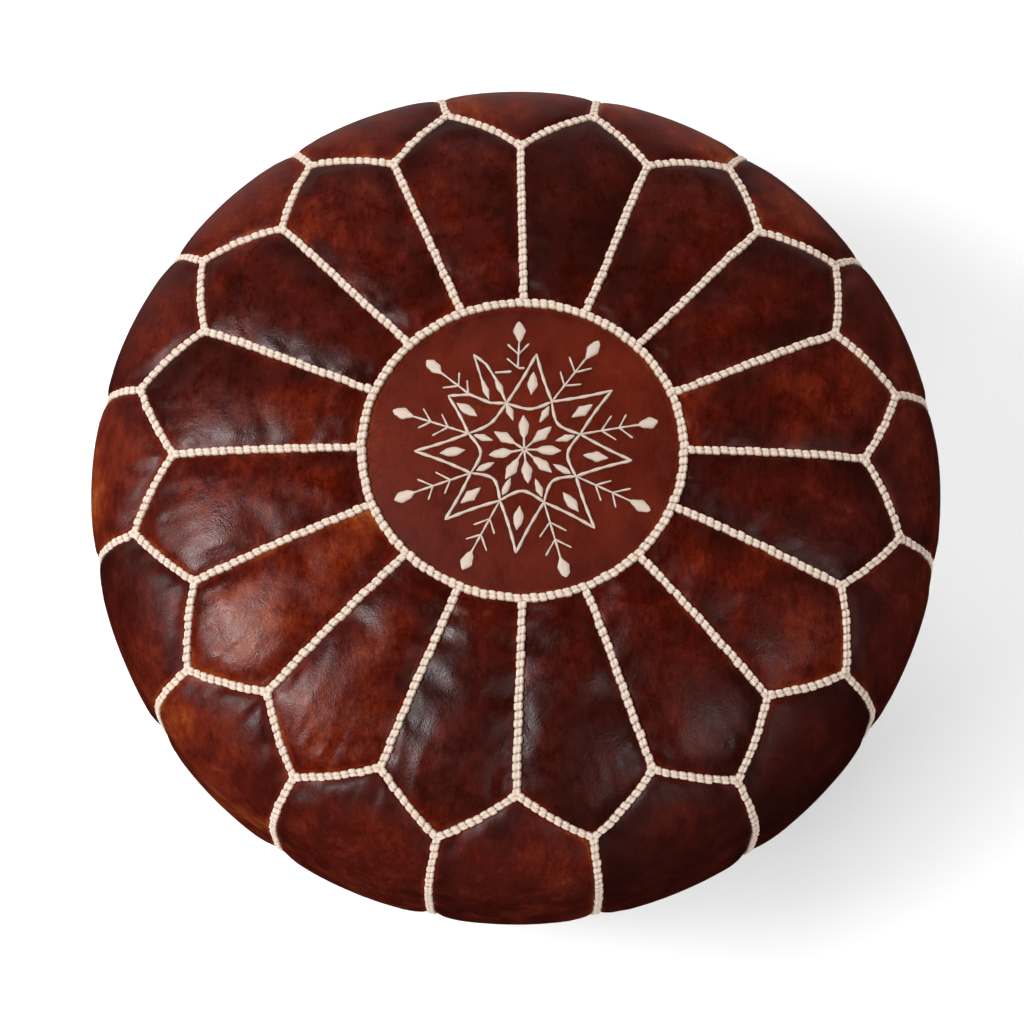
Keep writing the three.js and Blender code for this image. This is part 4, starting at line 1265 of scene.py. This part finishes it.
# How bright the world is from straight down (0) over the horizon (0.5) to straight up (1).
WALLS = [(0.0, 0.03), (0.485, 0.03), (0.497, 0.9), (0.55, 0.8), (0.61, 0.3), (0.69, 0.02)]
CAMERA_ELEVATION = math.radians(72.4)
CAMERA_DISTANCE = 2.0
CAMERA_DRIFT = 0.002
SENSOR = 36
FOCAL_SHARE = 3209 / 1024


def floor():
    """A plain pale floor. Past the lamps, where their light ends, it is as white as under them."""
    n = material_nodes("studio_floor")
    colour = n.mix(n.noise(n.place(), 3, 2), (0.78, 0.78, 0.78), (0.80, 0.80, 0.80))
    reach = n.add("ShaderNodeVectorMath", operation="LENGTH")
    n.link(n.place(), reach.inputs[0])
    glow = n.remap(reach.outputs["Value"], 1.0, 2.4, 0.25, 1.0)
    half = FLOOR_SIZE / 2
    corners = [(-half, -half, 0), (half, -half, 0), (half, half, 0), (-half, half, 0)]
    made = mesh_object("floor", corners, [(0, 1, 2, 3)])
    made.data.materials.append(n.finish(
        colour, 0.9, Specular_IOR_Level=0.1, Emission_Color=(1, 1, 1, 1), Emission_Strength=glow))
    made.visible_glossy = False


def softbox(name, azimuth, elevation, distance, size, power, sheen=False):
    """An area light aimed at the pouf, that only lights it or only shines on it. Azimuth is from
    +X, both angles in degrees."""
    light = bpy.data.lights.new(name, "AREA")
    light.shape = "RECTANGLE"
    light.size, light.size_y = size
    light.energy = power
    made = placed(name, light)
    made.visible_glossy = sheen
    made.visible_diffuse = not sheen
    a, e = math.radians(azimuth), math.radians(elevation)
    back = Vector((math.cos(a) * math.cos(e), math.sin(a) * math.cos(e), math.sin(e)))
    made.location = Vector((0, 0, 0.2)) + back * distance
    made.rotation_euler = back.to_track_quat("Z", "Y").to_euler()


def world():
    """White walls to head height under a dark ceiling, bright behind the pouf and dim elsewhere,
    with a white sweep on the ground behind it, which only shows as a shine on its far side."""
    made = bpy.data.worlds.new("studio")
    n = Nodes(made)
    direction = n.place("Generated")
    height = n.axis(direction, "Z")
    aim = n.add("ShaderNodeVectorMath", operation="DOT_PRODUCT")
    aim.inputs[1].default_value = BEHIND
    n.link(direction, aim.inputs[0])
    behind = aim.outputs["Value"]
    walls = n.ramp(n.remap(height, -1.0, 1.0, kind="LINEAR"),
                   [(position, (level, level, level)) for position, level in WALLS])
    sweep = n.math("MULTIPLY", n.remap(height, 0.0, -0.08, kind="LINEAR"),
                   n.remap(behind, 0.1, 0.9, 0.0, 0.42, "LINEAR"))
    background = n.tree.nodes["Background"]
    n.link(n.math("ADD", walls, sweep), background.inputs["Color"])
    n.link(n.remap(behind, 0.52, 0.85, 0.12, 1.40, "LINEAR"), background.inputs["Strength"])
    bpy.context.scene.world = made


def camera():
    """Looks down at the crown from the front. It aims close to the middle of the widest ring."""
    back = Vector((0, -math.cos(CAMERA_ELEVATION), math.sin(CAMERA_ELEVATION)))
    right = Vector((1, 0, 0))
    up = back.cross(right)
    forward = (-back - CAMERA_DRIFT * right - CAMERA_DRIFT * up).normalized()
    data = bpy.data.cameras.new("camera")
    data.sensor_width = SENSOR
    data.lens = SENSOR * FOCAL_SHARE
    made = placed("camera", data)
    made.location = Vector((0, 0, EQUATOR)) + back * CAMERA_DISTANCE
    made.rotation_euler = forward.to_track_quat("-Z", "Y").to_euler()
    bpy.context.scene.camera = made


camera()
world()
floor()
softbox("key", 200, 40, 3.0, (2.4, 1.6), 86)
softbox("back", 95, 30, 3.0, (2.6, 1.0), 60)
softbox("front", 285, 34, 3.0, (2.4, 1.2), 37)
softbox("right", 10, 36, 3.0, (2.2, 1.2), 28)
softbox("overhead", 190, 54, 2.6, (1.0, 0.8), 27)
softbox("left_sheen", 185, 52, 2.6, (0.8, 0.6), 78, sheen=True)
softbox("right_sheen", 321, 57, 2.6, (0.9, 0.7), 15, sheen=True)

leather_cover()
medallion()
braids()
star()
rosette()
base()
for side, sign in (("back", 1), ("front", -1)):
    zip_tape(f"zip_tape_{side}", sign)
    zip_coil(f"zip_coil_{side}", sign)
zip_hardware()
lining("cotton_liner_cloth", "cotton_liner", LINER_INSET, LINING_GROOVE_GAP, 0.0003, COTTON, LINER_MOUTH)
wadding = lining("wadding_filling", "filling", FILLING_INSET, FILLING_GROOVE_GAP, 0.0040, WADDING)

bpy.context.scene.view_settings.view_transform = "Standard"
